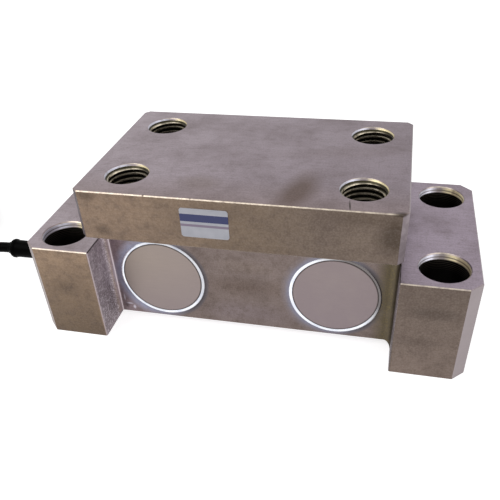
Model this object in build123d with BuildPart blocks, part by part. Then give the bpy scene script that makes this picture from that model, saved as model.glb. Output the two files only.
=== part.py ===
from build123d import *

import math
import os

os.makedirs("parts", exist_ok=True)

# Driving dimensions in millimetres: X along the beam, Y to the back, Z up from the feet.

# Steel body
LENGTH = 250.0
WIDTH = 110.5
FOOT_LENGTH = 40.5
FOOT_HEIGHT = 61.0
FOOT_CHAMFER = 6.5
BEAM_THICKNESS = 70.0
NICHE_RADIUS = 4.5
RELIEF_DEPTH = 5.0
RELIEF_RADIUS = 4.0
SLOT_HEIGHT = 10.5
PILLAR_LENGTH = 36.0
PILLAR_WIDTH = 62.0
PLATE_LENGTH = 170.5
PLATE_THICKNESS = 28.5
PLATE_CHAMFER = 3.0
EDGE_BREAK = 0.5

# Bolt holes, each set placed from the ends and sides of its plate or foot
PLATE_BORE = 24.0
PLATE_BORE_FROM_END = 22.5
PLATE_BORE_FROM_SIDE = 22.25
PLATE_RIM = 0.3
FOOT_BORE = 26.0
FOOT_BORE_FROM_END = 18.5
FOOT_BORE_FROM_SIDE = 17.75
FOOT_RIM = 0.6

# Gauge pockets and their welded covers
WEB_THICKNESS = 14.0
COVER_DIAMETER = 48.2
COVER_THICKNESS = 2.0
COVER_GAP = 0.2
WELD_WIDTH = 2.0
WELD_CROWN = 0.35
COVER_LEDGE = 2.0
BOARD_LEDGE = 2.0
BOARD_LEDGE_DEPTH = 12.0

# Ways for the cable and the inner leads
CABLE_DIAMETER = 6.8
CABLE_CLEARANCE = 0.6
ENTRY_DEPTH = 20.0
ENTRY_HEIGHT = 30.2
CHANNEL_DIAMETER = 4.5
CROSS_HOLE = 4.0
CROSS_HOLE_OFFSET = 15.0
CUT_MARGIN = 1.0

# Gauges, terminals and board inside the pockets
GAUGE_LENGTH = 12.0
GAUGE_HEIGHT = 9.0
GAUGE_THICKNESS = 0.3
GRID_LENGTH = 4.2
GRID_WIDTH = 2.6
GRID_THICKNESS = 0.1
GRID_PITCH = 4.6
TAB_WIDTH = 1.2
STRIP_LENGTH = 12.0
STRIP_HEIGHT = 4.5
STRIP_THICKNESS = 0.8
STRIP_DROP = 11.0
PAD_COUNT = 4
PAD_WIDTH = 1.8
PAD_THICKNESS = 0.15
JUMPER_DIAMETER = 0.3
JUMPER_RISE = 1.2
COATING_MARGIN = 1.0
COATING_THICKNESS = 1.8
BOARD_THICKNESS = 1.6
BOARD_CLEARANCE = 0.3
BOARD_HOLE = 9.0
CABLE_HOLE_X = -10.0
LEAD_HOLE_X = 5.0
CORE_PAD_X = -3.0
LEAD_PAD_X = 13.0
WIRE_DIAMETER = 1.4
WIRE_PITCH = 1.6
WIRE_LOOP = 3.5
CORE_CLEARANCE = 0.3
LEAD_START = 2.25
JACKET_END = -16.0
POTTING_LENGTH = 14.0
RESISTOR_PITCH = 6.0
RESISTOR_ROW = 11.0
RESISTOR_LENGTH = 3.2
RESISTOR_WIDTH = 1.6
RESISTOR_THICKNESS = 0.8

# Cable gland and boot, measured outward from the end of the left foot
GLAND_THREAD = 12.0
GLAND_THREAD_LENGTH = 10.0
GLAND_RUNOUT = 1.0
GASKET_THICKNESS = 1.0
GLAND_HEX = 17.0
GLAND_HEX_THICKNESS = 5.0
GLAND_NECK = 11.0
GLAND_NECK_LENGTH = 9.0
NUT_HEX = 15.0
NUT_LENGTH = 9.0
NUT_DOME = 2.5
NUT_DOME_TAPER = 25.0
NUT_GAP = 1.0
SEAL_LENGTH = 6.0
SEAL_DIAMETER = 9.2
BOOT_LENGTH = 22.0
BOOT_ROOT = 11.6
BOOT_END = 11.8
BOOT_RIM = 12.7
BOOT_RIM_LENGTH = 3.4
BOOT_LIP_LENGTH = 2.7
BOOT_LIP_WALL = 0.55
SLIP = 0.05

# Free cable: lead, coil, ties and stripped end. The lead's inner points are given as the reach from the
# boot, the step aside and the share of the drop that is left.
LEAD_ROUTE = (
    (8.5, 0.0, 1.0),
    (23.5, -0.2, 0.875),
    (41.5, -0.7, 0.557),
    (59.0, -0.5, 0.192),
    (73.0, 0.1, 0.0),
)
COIL_TURN_RADIUS = 39.0
COIL_COLUMNS = 4
COIL_LAYERS = 3
COIL_LEFT = 113.5
COIL_CORNER = 3.0
TIE_THICKNESS = 1.2
TIE_WIDTH = 4.8
TIE_CLEARANCE = 0.2
TIE_HEAD = 6.5
TIE_ANGLES = (-105.0, 15.0, 132.0)
TAIL_START = 70.0
TAIL_SWEEP = -230.0
SLEEVE_WALL = 0.4
SLEEVE_SWEEP = -28.0
SLEEVE_LIP_SWEEP = -4.5
CORE_DIAMETER = 1.6
DRAIN_DIAMETER = 1.0
FAN_RADIUS = 1.6
FAN_STRAIGHT = 4.0
FAN_SWEEPS = (-32.0, -43.0)
TIP_DIAMETER = 0.9
TIP_LENGTH = 5.0

# Sticker on the front of the plate
LABEL_LENGTH = 25.4
LABEL_HEIGHT = 16.8
LABEL_THICKNESS = 0.15
LABEL_CORNER = 1.5
LABEL_FROM_END = 58.3
LABEL_FROM_TOP = 5.2

TINY = 0.01

# Places that follow from the driving dimensions
end_x = LENGTH / 2
side_y = WIDTH / 2
foot_inner_x = end_x - FOOT_LENGTH
beam_face_y = BEAM_THICKNESS / 2
web_face_y = WEB_THICKNESS / 2
niche_depth = side_y - beam_face_y
plate_bottom_z = FOOT_HEIGHT + SLOT_HEIGHT
plate_top_z = plate_bottom_z + PLATE_THICKNESS
foot_bore_x = end_x - FOOT_BORE_FROM_END
foot_bore_y = side_y - FOOT_BORE_FROM_SIDE
plate_bore_x = PLATE_LENGTH / 2 - PLATE_BORE_FROM_END
plate_bore_y = side_y - PLATE_BORE_FROM_SIDE

cover_radius = COVER_DIAMETER / 2
seat_radius = cover_radius + WELD_WIDTH
pocket_radius = cover_radius - COVER_LEDGE
floor_radius = pocket_radius - BOARD_LEDGE
pocket_x = (PILLAR_LENGTH / 2 + foot_inner_x) / 2
pocket_z = (RELIEF_DEPTH + FOOT_HEIGHT) / 2
pocket_depth = beam_face_y - web_face_y
board_seat_y = beam_face_y - BOARD_LEDGE_DEPTH

entry_y = ENTRY_DEPTH - beam_face_y
cable_radius = CABLE_DIAMETER / 2
entry_radius = cable_radius + CABLE_CLEARANCE
cross_x = pocket_x - CROSS_HOLE_OFFSET

# Wires in the cable's end: name, place on the ring of five, sweep to where it comes to lie, step across
# the coil and height of the underside there, diameter. The cores lie side by side in the slot and the
# drain lies on them.
FAN = [
    ("screen_drain", 0, -24.0, 0.15, CORE_DIAMETER, DRAIN_DIAMETER),
    ("core_red", 1, -21.0, 2.7, 0.0, CORE_DIAMETER),
    ("core_black", 2, -16.0, 1.0, 0.0, CORE_DIAMETER),
    ("core_green", 3, -15.0, -0.7, 0.0, CORE_DIAMETER),
    ("core_white", 4, -23.0, -2.8, 0.0, CORE_DIAMETER),
]

POCKETS = [
    (f"{side_name}_{end_name}", end, side)
    for side_name, side in (("front", -1), ("rear", 1))
    for end_name, end in (("left", -1), ("right", 1))
]


def pocket_plane(end, side, y):
    """A plane across a pocket at a distance y from the middle of the beam, facing out, its own Y up."""
    return Plane(origin=(end * pocket_x, side * y, pocket_z), x_dir=(-side, 0, 0), z_dir=(0, side, 0))


def corner_radii(points):
    """The arc radius at each inner point: 0.45 of the shorter run over the tangent of half the turn."""
    radii = []
    for before, here, after in zip(points, points[1:], points[2:]):
        run_in = Vector(*here) - Vector(*before)
        run_out = Vector(*after) - Vector(*here)
        half_turn = math.radians(run_in.get_angle(run_out)) / 2
        radii.append(0.45 * min(run_in.length, run_out.length) / math.tan(half_turn))
    return radii


def tube(points, diameter):
    """A round solid along straight runs joined by tangent arcs."""
    with BuildPart() as wire:
        with BuildLine() as route:
            FilletPolyline(*points, radius=corner_radii(points))
        with BuildSketch(Plane(origin=route.line @ 0, z_dir=route.line % 0)):
            Circle(diameter / 2)
        sweep()
    return wire.part


def polar(x, y, radius, angle, z):
    """A point at a radius and an angle in degrees about an upright axis."""
    return (x + radius * math.cos(math.radians(angle)), y + radius * math.sin(math.radians(angle)), z)


def is_circle_at(radius, *heights):
    """A selector for round edges of one radius at the given heights."""
    return lambda e: (
        e.geom_type == GeomType.CIRCLE
        and abs(e.radius - radius) < TINY
        and any(abs(e.center().Z - z) < TINY for z in heights)
    )


# Body: one steel billet with two feet, the sensing beam between them and the load plate on a middle pillar
with BuildPart() as body:
    with BuildSketch(Plane.XY.offset(plate_bottom_z)) as plate_plan:
        Rectangle(PLATE_LENGTH, WIDTH)
        chamfer(plate_plan.vertices(), PLATE_CHAMFER)
    extrude(amount=PLATE_THICKNESS)
    chamfer(body.edges().filter_by(Axis.Z, reverse=True), EDGE_BREAK)

    with BuildSketch(Plane.XY) as feet_plan:
        Rectangle(LENGTH, WIDTH)
        with GridLocations(0, 2 * beam_face_y + niche_depth, 1, 2):
            Rectangle(2 * foot_inner_x, niche_depth, mode=Mode.SUBTRACT)
        chamfer(feet_plan.vertices().filter_by(lambda v: abs(v.X) > foot_inner_x + TINY), FOOT_CHAMFER)
        inner = feet_plan.vertices().filter_by(lambda v: abs(v.X) < foot_inner_x + TINY)
        chamfer(inner.filter_by(lambda v: abs(v.Y) > beam_face_y + TINY), EDGE_BREAK)
        fillet(feet_plan.vertices().filter_by(lambda v: abs(v.Y) < beam_face_y + TINY), NICHE_RADIUS)
    extrude(amount=FOOT_HEIGHT)
    feet_top = body.faces().filter_by(lambda f: abs(f.center().Z - FOOT_HEIGHT) < TINY)[0]
    chamfer(feet_top.outer_wire().edges(), EDGE_BREAK)

    with BuildSketch(Plane.XZ) as relief:
        with Locations((0, RELIEF_DEPTH / 2)):
            Rectangle(2 * foot_inner_x, RELIEF_DEPTH)
        fillet(relief.vertices().group_by(Axis.Y)[-1], min(RELIEF_RADIUS, 0.9 * RELIEF_DEPTH))
    extrude(amount=side_y, both=True, mode=Mode.SUBTRACT)

    slot_round = SLOT_HEIGHT / 2
    with BuildSketch(Plane.XZ) as pillar:
        with Locations((0, FOOT_HEIGHT + slot_round)):
            Rectangle(PILLAR_LENGTH + SLOT_HEIGHT, SLOT_HEIGHT)
            with GridLocations(PILLAR_LENGTH + SLOT_HEIGHT, 0, 2, 1):
                Circle(slot_round, mode=Mode.SUBTRACT)
    extrude(amount=PILLAR_WIDTH / 2, both=True)

    with Locations((0, 0, plate_top_z)):
        with GridLocations(2 * plate_bore_x, 2 * plate_bore_y, 2, 2):
            Hole(PLATE_BORE / 2, depth=PLATE_THICKNESS)
    with Locations((0, 0, FOOT_HEIGHT)):
        with GridLocations(2 * foot_bore_x, 2 * foot_bore_y, 2, 2):
            Hole(FOOT_BORE / 2, depth=FOOT_HEIGHT)
    chamfer(body.edges().filter_by(is_circle_at(PLATE_BORE / 2, plate_bottom_z, plate_top_z)), PLATE_RIM)
    chamfer(body.edges().filter_by(is_circle_at(FOOT_BORE / 2, 0, FOOT_HEIGHT)), FOOT_RIM)

    for pocket, end, side in POCKETS:
        with Locations(pocket_plane(end, side, beam_face_y)):
            Hole(seat_radius, depth=COVER_THICKNESS)
            Hole(pocket_radius, depth=BOARD_LEDGE_DEPTH)
            Hole(floor_radius, depth=pocket_depth)

    entry = Plane(origin=(-end_x, entry_y, ENTRY_HEIGHT), x_dir=(0, 1, 0), z_dir=(-1, 0, 0))
    with Locations(entry):
        Hole(GLAND_THREAD / 2, depth=GLAND_THREAD_LENGTH + GLAND_RUNOUT)
        Hole(entry_radius, depth=end_x - pocket_x)
        Hole(CHANNEL_DIAMETER / 2, depth=end_x + pocket_x)
    for end in (-1, 1):
        with Locations(Plane(origin=(end * cross_x, -web_face_y - CUT_MARGIN, pocket_z), z_dir=(0, -1, 0))):
            Hole(CROSS_HOLE / 2, depth=WEB_THICKNESS + 2 * CUT_MARGIN)
body.part.label = "body"
export_step(body.part, "parts/body.step")

# Covers: a thin steel disc in the mouth of each pocket, sealed by a weld bead round its edge
for pocket, end, side in POCKETS:
    with BuildPart() as cover:
        with BuildSketch(pocket_plane(end, side, beam_face_y - COVER_THICKNESS)):
            Circle(cover_radius)
        extrude(amount=COVER_THICKNESS)
    cover.part.label = f"cover_{pocket}"
    export_step(cover.part, f"parts/cover_{pocket}.step")

    with BuildPart() as bead:
        mouth = pocket_plane(end, side, beam_face_y - COVER_THICKNESS)
        section = Plane(origin=mouth.origin, x_dir=mouth.x_dir, z_dir=-mouth.y_dir)
        with BuildSketch(section):
            with BuildLine():
                inner_r = cover_radius + COVER_GAP
                outer_r = seat_radius - SLIP
                outer_top = (outer_r, COVER_THICKNESS)
                inner_top = (inner_r, COVER_THICKNESS)
                Polyline(inner_top, (inner_r, 0), (outer_r, 0), outer_top)
                crown = ((inner_r + outer_r) / 2, COVER_THICKNESS + WELD_CROWN)
                ThreePointArc(outer_top, crown, inner_top)
            make_face()
        revolve(axis=Axis(mouth.origin, mouth.z_dir))
    bead.part.label = f"weld_bead_{pocket}"
    export_step(bead.part, f"parts/weld_bead_{pocket}.step")

# Strain gauges: a shear rosette on a film backing, bonded to the middle of each side of the webs
tab_y = GAUGE_HEIGHT / 2 - TAB_WIDTH
pad_pitch = STRIP_LENGTH / PAD_COUNT
pad_offsets = [(i - (PAD_COUNT - 1) / 2) * pad_pitch for i in range(PAD_COUNT)]
for pocket, end, side in POCKETS:
    floor_plane = pocket_plane(end, side, web_face_y)
    with BuildPart() as gauge:
        with BuildSketch(floor_plane):
            RectangleRounded(GAUGE_LENGTH, GAUGE_HEIGHT, COATING_MARGIN)
        extrude(amount=GAUGE_THICKNESS)
        with BuildSketch(floor_plane.offset(GAUGE_THICKNESS)):
            for grid in (-1, 1):
                with Locations(Location((grid * GRID_PITCH / 2, TAB_WIDTH / 2, 0), (0, 0, grid * 45))):
                    Rectangle(GRID_LENGTH, GRID_WIDTH)
            with Locations(*[(x, -tab_y) for x in pad_offsets]):
                Rectangle(TAB_WIDTH, TAB_WIDTH)
        extrude(amount=GRID_THICKNESS)
    gauge.part.label = f"strain_gauge_{pocket}"
    export_step(gauge.part, f"parts/strain_gauge_{pocket}.step")

    with BuildPart() as strip:
        with BuildSketch(floor_plane):
            with Locations((0, -STRIP_DROP)):
                Rectangle(STRIP_LENGTH, STRIP_HEIGHT)
        extrude(amount=STRIP_THICKNESS)
        with BuildSketch(floor_plane.offset(STRIP_THICKNESS)):
            with Locations(*[(x, -STRIP_DROP) for x in pad_offsets]):
                Rectangle(PAD_WIDTH, STRIP_HEIGHT - PAD_WIDTH / 2)
        extrude(amount=PAD_THICKNESS)
    strip.part.label = f"terminal_strip_{pocket}"
    export_step(strip.part, f"parts/terminal_strip_{pocket}.step")

    # Fine jumpers arch from the gauge's tabs to the pads of the strip
    jumper_foot = GAUGE_THICKNESS + GRID_THICKNESS + JUMPER_DIAMETER / 2
    jumper_end = STRIP_THICKNESS + PAD_THICKNESS + JUMPER_DIAMETER / 2
    pad_edge_y = STRIP_DROP - STRIP_HEIGHT / 4
    with BuildPart() as jumpers:
        for x in pad_offsets:
            stops = [
                (x, -tab_y, jumper_foot),
                (x, -tab_y - JUMPER_RISE / 2, jumper_foot + JUMPER_RISE),
                (x, -pad_edge_y + JUMPER_RISE / 2, jumper_end + JUMPER_RISE),
                (x, -pad_edge_y, jumper_end),
            ]
            add(floor_plane.from_local_coords(tube(stops, JUMPER_DIAMETER)))
    jumpers.part.label = f"gauge_jumpers_{pocket}"
    export_step(jumpers.part, f"parts/gauge_jumpers_{pocket}.step")

    # Coating: a soft pad of silicone over the grids, with a recess where it lies on the gauge
    coat_low = COATING_MARGIN + TAB_WIDTH / 2 - tab_y
    coat_high = GAUGE_HEIGHT / 2 + COATING_MARGIN
    with BuildPart() as coating:
        with BuildSketch(floor_plane):
            with Locations((0, (coat_low + coat_high) / 2)):
                RectangleRounded(GAUGE_LENGTH + 2 * COATING_MARGIN, coat_high - coat_low, COATING_MARGIN)
        extrude(amount=COATING_THICKNESS)
        top = coating.faces().sort_by(Axis(floor_plane.origin, floor_plane.z_dir))[-1]
        fillet(top.outer_wire().edges(), COATING_THICKNESS / 3)
        with BuildSketch(floor_plane):
            Rectangle(GAUGE_LENGTH + 2 * SLIP, GAUGE_HEIGHT + 2 * SLIP)
        extrude(amount=GAUGE_THICKNESS + GRID_THICKNESS, mode=Mode.SUBTRACT)
    coating.part.label = f"gauge_coating_{pocket}"
    export_step(coating.part, f"parts/gauge_coating_{pocket}.step")

# Compensation board: a round glass-fibre board on the ledge of the front left pocket
board_plane = pocket_plane(-1, -1, board_seat_y)
board_face = board_plane.offset(BOARD_THICKNESS)
row_y = ENTRY_HEIGHT - pocket_z
row = [(i - (PAD_COUNT - 1) / 2) * WIRE_PITCH for i in range(PAD_COUNT)]
with BuildPart() as board:
    with BuildSketch(board_plane):
        Circle(pocket_radius - BOARD_CLEARANCE)
        with Locations((CABLE_HOLE_X, row_y), (LEAD_HOLE_X, row_y)):
            Circle(BOARD_HOLE / 2, mode=Mode.SUBTRACT)
    extrude(amount=BOARD_THICKNESS)
board.part.label = "compensation_board"
export_step(board.part, "parts/compensation_board.step")

with BuildPart() as pads:
    with BuildSketch(board_face):
        with Locations(*[(x, row_y + y) for x in (CORE_PAD_X, LEAD_PAD_X) for y in row]):
            Rectangle(PAD_WIDTH, WIRE_PITCH - CORE_CLEARANCE)
    extrude(amount=PAD_THICKNESS)
pads.part.label = "board_solder_pads"
export_step(pads.part, "parts/board_solder_pads.step")

with BuildPart() as resistors:
    with BuildSketch(board_face):
        with GridLocations(RESISTOR_PITCH, 2 * RESISTOR_ROW, 3, 2):
            Rectangle(RESISTOR_LENGTH, RESISTOR_WIDTH)
    extrude(amount=RESISTOR_THICKNESS)
resistors.part.label = "board_resistors"
export_step(resistors.part, "parts/board_resistors.step")

# Lead bundles: one from each strip, all through the same hole of the board to its lead pads
board_face_y = -board_seat_y - BOARD_THICKNESS
wire_end_y = board_face_y - PAD_THICKNESS - WIRE_DIAMETER / 2
loop_y = board_face_y - WIRE_LOOP
strip_z = pocket_z - STRIP_DROP
strip_top_y = web_face_y + STRIP_THICKNESS + PAD_THICKNESS + WIRE_DIAMETER / 2
hole_x = LEAD_HOLE_X - pocket_x
low_row, front_row, rear_row, high_row = (ENTRY_HEIGHT + offset for offset in row)


def to_board(z):
    """The last points of a bundle: through the board's lead hole and down on its pad."""
    pad_x = LEAD_PAD_X - pocket_x
    return [(hole_x, loop_y, z), (pad_x, loop_y, z), (pad_x, wire_end_y, z)]


LEADS = {
    "front_left": [
        (LEAD_START - pocket_x, -strip_top_y, strip_z),
        (LEAD_START - pocket_x, -strip_top_y - WIRE_LOOP, strip_z),
        (hole_x, entry_y, low_row),
        *to_board(low_row),
    ],
    "front_right": [
        (pocket_x - LEAD_START, -strip_top_y, strip_z),
        (pocket_x - LEAD_START, -strip_top_y - WIRE_LOOP, strip_z),
        (cross_x, entry_y, front_row),
        (hole_x, entry_y, front_row),
        *to_board(front_row),
    ],
    "rear_right": [
        (pocket_x - LEAD_START, strip_top_y, strip_z),
        (pocket_x - LEAD_START, strip_top_y + WIRE_LOOP, strip_z),
        (cross_x, strip_top_y + WIRE_LOOP, pocket_z),
        (cross_x, -strip_top_y - WIRE_LOOP, pocket_z),
        (pocket_x - floor_radius + WIRE_PITCH, entry_y, rear_row),
        (hole_x, entry_y, rear_row),
        *to_board(rear_row),
    ],
    "rear_left": [
        (LEAD_START - pocket_x, strip_top_y, strip_z),
        (LEAD_START - pocket_x, strip_top_y + WIRE_LOOP, strip_z),
        (-cross_x, strip_top_y + WIRE_LOOP, pocket_z),
        (-cross_x, -strip_top_y - WIRE_LOOP, pocket_z),
        (hole_x, entry_y, high_row),
        *to_board(high_row),
    ],
}
for pocket, stops in LEADS.items():
    bundle = tube(stops, WIRE_DIAMETER)
    bundle.label = f"lead_{pocket}"
    export_step(bundle, f"parts/lead_{pocket}.step")

# Inner end of the cable: the jacket stops inside the front left pocket and four cores go on to the board
entry_origin = (-end_x, entry_y, ENTRY_HEIGHT)
outward = Plane(origin=entry_origin, x_dir=(-1, 0, 0), z_dir=(0, 1, 0))
entry_axis = Axis(entry_origin, (-1, 0, 0))
gland_face = GASKET_THICKNESS + GLAND_HEX_THICKNESS
nut_start = gland_face + NUT_GAP
nut_end = nut_start + NUT_LENGTH + NUT_DOME
boot_end = nut_end + BOOT_LENGTH
jacket_end_x = JACKET_END - pocket_x
inner_length = jacket_end_x + end_x + boot_end
with BuildPart() as cable_inner:
    with BuildSketch(Plane(origin=(-end_x - boot_end, entry_y, ENTRY_HEIGHT), z_dir=(1, 0, 0))):
        Circle(cable_radius)
    extrude(amount=inner_length)
cable_inner.part.label = "cable_inner"
export_step(cable_inner.part, "parts/cable_inner.step")

core_hole_x = CABLE_HOLE_X - pocket_x
core_pad_x = CORE_PAD_X - pocket_x
with BuildPart() as cores_inner:
    for offset in row:
        z = ENTRY_HEIGHT + offset
        stops = [
            (jacket_end_x, entry_y, z),
            (core_hole_x, entry_y, z),
            (core_hole_x, loop_y, z),
            (core_pad_x, loop_y, z),
            (core_pad_x, wire_end_y, z),
        ]
        add(tube(stops, WIRE_DIAMETER))
cores_inner.part.label = "cable_cores_inner"
export_step(cores_inner.part, "parts/cable_cores_inner.step")

with BuildPart() as potting:
    potting_x = -end_x + GLAND_THREAD_LENGTH + GLAND_RUNOUT
    with BuildSketch(Plane(origin=(potting_x, entry_y, ENTRY_HEIGHT), z_dir=(1, 0, 0))):
        Circle(entry_radius - SLIP)
        Circle(cable_radius + SLIP, mode=Mode.SUBTRACT)
    extrude(amount=POTTING_LENGTH)
potting.part.label = "entry_potting"
export_step(potting.part, "parts/entry_potting.step")

# Gland: gasket, threaded body with a hexagon and a neck, rubber seal and dome nut
gland_plane = Plane(origin=entry_origin, x_dir=(0, 1, 0), z_dir=(-1, 0, 0))
bore_radius = cable_radius + CABLE_CLEARANCE / 2
thread_radius = GLAND_THREAD / 2 - SLIP
neck_radius = GLAND_NECK / 2
seal_radius = SEAL_DIAMETER / 2
neck_end = gland_face + GLAND_NECK_LENGTH
with BuildPart() as gasket:
    with BuildSketch(gland_plane):
        Circle(GLAND_HEX / 2 - EDGE_BREAK)
        Circle(GLAND_THREAD / 2, mode=Mode.SUBTRACT)
    extrude(amount=GASKET_THICKNESS)
gasket.part.label = "gland_gasket"
export_step(gasket.part, "parts/gland_gasket.step")

with BuildPart() as gland:
    with BuildSketch(gland_plane.offset(GASKET_THICKNESS)):
        RegularPolygon(GLAND_HEX / 2, 6, major_radius=False)
    extrude(amount=GLAND_HEX_THICKNESS)
    with BuildSketch(gland_plane.offset(-GLAND_THREAD_LENGTH)):
        Circle(thread_radius)
    extrude(amount=GLAND_THREAD_LENGTH + GASKET_THICKNESS)
    with BuildSketch(gland_plane.offset(gland_face)):
        Circle(neck_radius)
    extrude(amount=GLAND_NECK_LENGTH)
    with BuildSketch(gland_plane.offset(-GLAND_THREAD_LENGTH)):
        Circle(bore_radius)
    extrude(amount=GLAND_THREAD_LENGTH + neck_end, mode=Mode.SUBTRACT)
    with BuildSketch(gland_plane.offset(neck_end - SEAL_LENGTH)):
        Circle(seal_radius)
    extrude(amount=SEAL_LENGTH, mode=Mode.SUBTRACT)
gland.part.label = "gland_body"
export_step(gland.part, "parts/gland_body.step")

with BuildPart() as seal:
    with BuildSketch(gland_plane.offset(neck_end - SEAL_LENGTH)):
        Circle(seal_radius - SLIP)
        Circle(cable_radius + SLIP, mode=Mode.SUBTRACT)
    extrude(amount=SEAL_LENGTH)
seal.part.label = "gland_seal"
export_step(seal.part, "parts/gland_seal.step")

with BuildPart() as nut:
    with BuildSketch(gland_plane.offset(nut_start)):
        RegularPolygon(NUT_HEX / 2, 6, major_radius=False)
    extrude(amount=NUT_LENGTH)
    with BuildSketch(gland_plane.offset(nut_start + NUT_LENGTH)):
        Circle(NUT_HEX / 2 - EDGE_BREAK)
    extrude(amount=NUT_DOME, taper=NUT_DOME_TAPER)
    with BuildSketch(gland_plane.offset(nut_start)):
        Circle(neck_radius + SLIP)
    extrude(amount=neck_end - nut_start, mode=Mode.SUBTRACT)
    with BuildSketch(gland_plane.offset(nut_start)):
        Circle(bore_radius)
    extrude(amount=NUT_LENGTH + NUT_DOME, mode=Mode.SUBTRACT)
nut.part.label = "gland_nut"
export_step(nut.part, "parts/gland_nut.step")

# Boot: a rubber sleeve that stands on the nut and ends in a rounded rim, with a thin lip on the cable
with BuildPart() as boot:
    with BuildSketch(outward):
        with BuildLine():
            inner = cable_radius + SLIP
            lip = cable_radius + BOOT_LIP_WALL
            lip_start = boot_end - BOOT_LIP_LENGTH
            rim_start = (lip_start - BOOT_RIM_LENGTH, BOOT_END / 2)
            rim_top = (lip_start - BOOT_RIM_LENGTH / 2, BOOT_RIM / 2)
            rim_end = (lip_start, BOOT_END / 2)
            Polyline(rim_start, (nut_end, BOOT_ROOT / 2), (nut_end, inner), (boot_end, inner))
            Polyline((boot_end, inner), (boot_end, lip), (lip_start, lip), rim_end)
            ThreePointArc(rim_end, rim_top, rim_start)
        make_face()
    revolve(axis=entry_axis)
boot.part.label = "strain_relief_boot"
export_step(boot.part, "parts/strain_relief_boot.step")

# Free cable: from the boot down to the floor and into a coil that rests on its ties
half_columns = (COIL_COLUMNS - 1) / 2
outer_turn = COIL_TURN_RADIUS + half_columns * CABLE_DIAMETER
coil_x = -end_x - boot_end - COIL_LEFT
coil_y = entry_y + outer_turn
coil_height = COIL_LAYERS * CABLE_DIAMETER
coil_top_z = TIE_THICKNESS + coil_height
coil_half_width = COIL_COLUMNS * cable_radius
slot_size = CABLE_DIAMETER + SLEEVE_WALL
stub_z = TIE_THICKNESS + cable_radius + TIE_CLEARANCE / 2
stub_y = entry_y + TIE_CLEARANCE / 2
stub_length = math.sqrt((outer_turn + CABLE_DIAMETER) ** 2 - outer_turn**2)
boot_x = -end_x - boot_end
drop = ENTRY_HEIGHT - stub_z
lead_points = [
    (boot_x, entry_y, ENTRY_HEIGHT),
    *[(boot_x - reach, entry_y + aside, stub_z + share * drop) for reach, aside, share in LEAD_ROUTE],
    (coil_x + stub_length, stub_y, stub_z),
]
cable_lead = tube(lead_points, CABLE_DIAMETER)
cable_lead.label = "cable_lead"
export_step(cable_lead, "parts/cable_lead.step")

coil_axis = Axis((coil_x, coil_y, 0), (0, 0, 1))
with BuildPart() as coil:
    with BuildSketch(Plane(origin=(coil_x, coil_y, 0), x_dir=(1, 0, 0), z_dir=(0, -1, 0))):
        with Locations((COIL_TURN_RADIUS, TIE_THICKNESS + coil_height / 2)):
            RectangleRounded(2 * coil_half_width, coil_height, COIL_CORNER)
        with Locations((COIL_TURN_RADIUS - coil_half_width, coil_top_z)):
            Rectangle(2 * slot_size, 2 * slot_size, mode=Mode.SUBTRACT)
    revolve(axis=coil_axis)
    with BuildSketch(Plane(origin=(coil_x, stub_y, stub_z), z_dir=(1, 0, 0))):
        Circle(cable_radius)
    extrude(amount=stub_length)
coil.part.label = "cable_coil"
export_step(coil.part, "parts/cable_coil.step")

# Ties: nylon bands round the coil's section, each with its head on top
for number, angle in enumerate(TIE_ANGLES, 1):
    turn = Rot(0, 0, angle)
    spot = Pos(coil_x, coil_y, 0) * turn
    with BuildPart() as tie:
        with BuildSketch(Plane(spot * Pos(0, TIE_WIDTH / 2, 0) * Rot(90, 0, 0))):
            with Locations((COIL_TURN_RADIUS, TIE_THICKNESS + coil_height / 2)):
                inner_width = 2 * (coil_half_width + TIE_CLEARANCE)
                outer_height = coil_height + 2 * TIE_THICKNESS
                RectangleRounded(inner_width + 2 * TIE_THICKNESS, outer_height, COIL_CORNER)
                RectangleRounded(inner_width, coil_height, COIL_CORNER / 2, mode=Mode.SUBTRACT)
        extrude(amount=TIE_WIDTH)
        head_z = coil_top_z + TIE_THICKNESS
        with BuildSketch(Plane(spot * Pos(COIL_TURN_RADIUS, 0, head_z))):
            Rectangle(TIE_HEAD, TIE_HEAD)
        extrude(amount=TIE_HEAD / 2)
    tie.part.label = f"coil_tie_{number}"
    export_step(tie.part, f"parts/coil_tie_{number}.step")

# Tail: the last of the cable lies in the slot at the coil's inner top edge, a sleeve over its jacket's end
tail_z = coil_top_z - cable_radius
tail_radius = COIL_TURN_RADIUS - half_columns * CABLE_DIAMETER
tail_plane = Plane.XY.offset(tail_z)
tail_end_angle = TAIL_START + TAIL_SWEEP
with BuildPart() as tail:
    with BuildLine(tail_plane) as arc:
        CenterArc((coil_x, coil_y), tail_radius, TAIL_START, TAIL_SWEEP)
    with BuildSketch(Plane(origin=arc.line @ 0, z_dir=arc.line % 0)):
        Circle(cable_radius)
    sweep()
tail.part.label = "cable_tail"
export_step(tail.part, "parts/cable_tail.step")

with BuildPart() as sleeve:
    with BuildLine(tail_plane) as arc:
        sleeve_start = tail_end_angle - SLEEVE_SWEEP
        CenterArc((coil_x, coil_y), tail_radius, sleeve_start, SLEEVE_SWEEP + SLEEVE_LIP_SWEEP)
    with BuildSketch(Plane(origin=arc.line @ 0, z_dir=arc.line % 0)):
        Circle(cable_radius + SLEEVE_WALL)
        Circle(cable_radius + SLIP, mode=Mode.SUBTRACT)
    sweep()
sleeve.part.label = "end_sleeve"
export_step(sleeve.part, "parts/end_sleeve.step")

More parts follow.
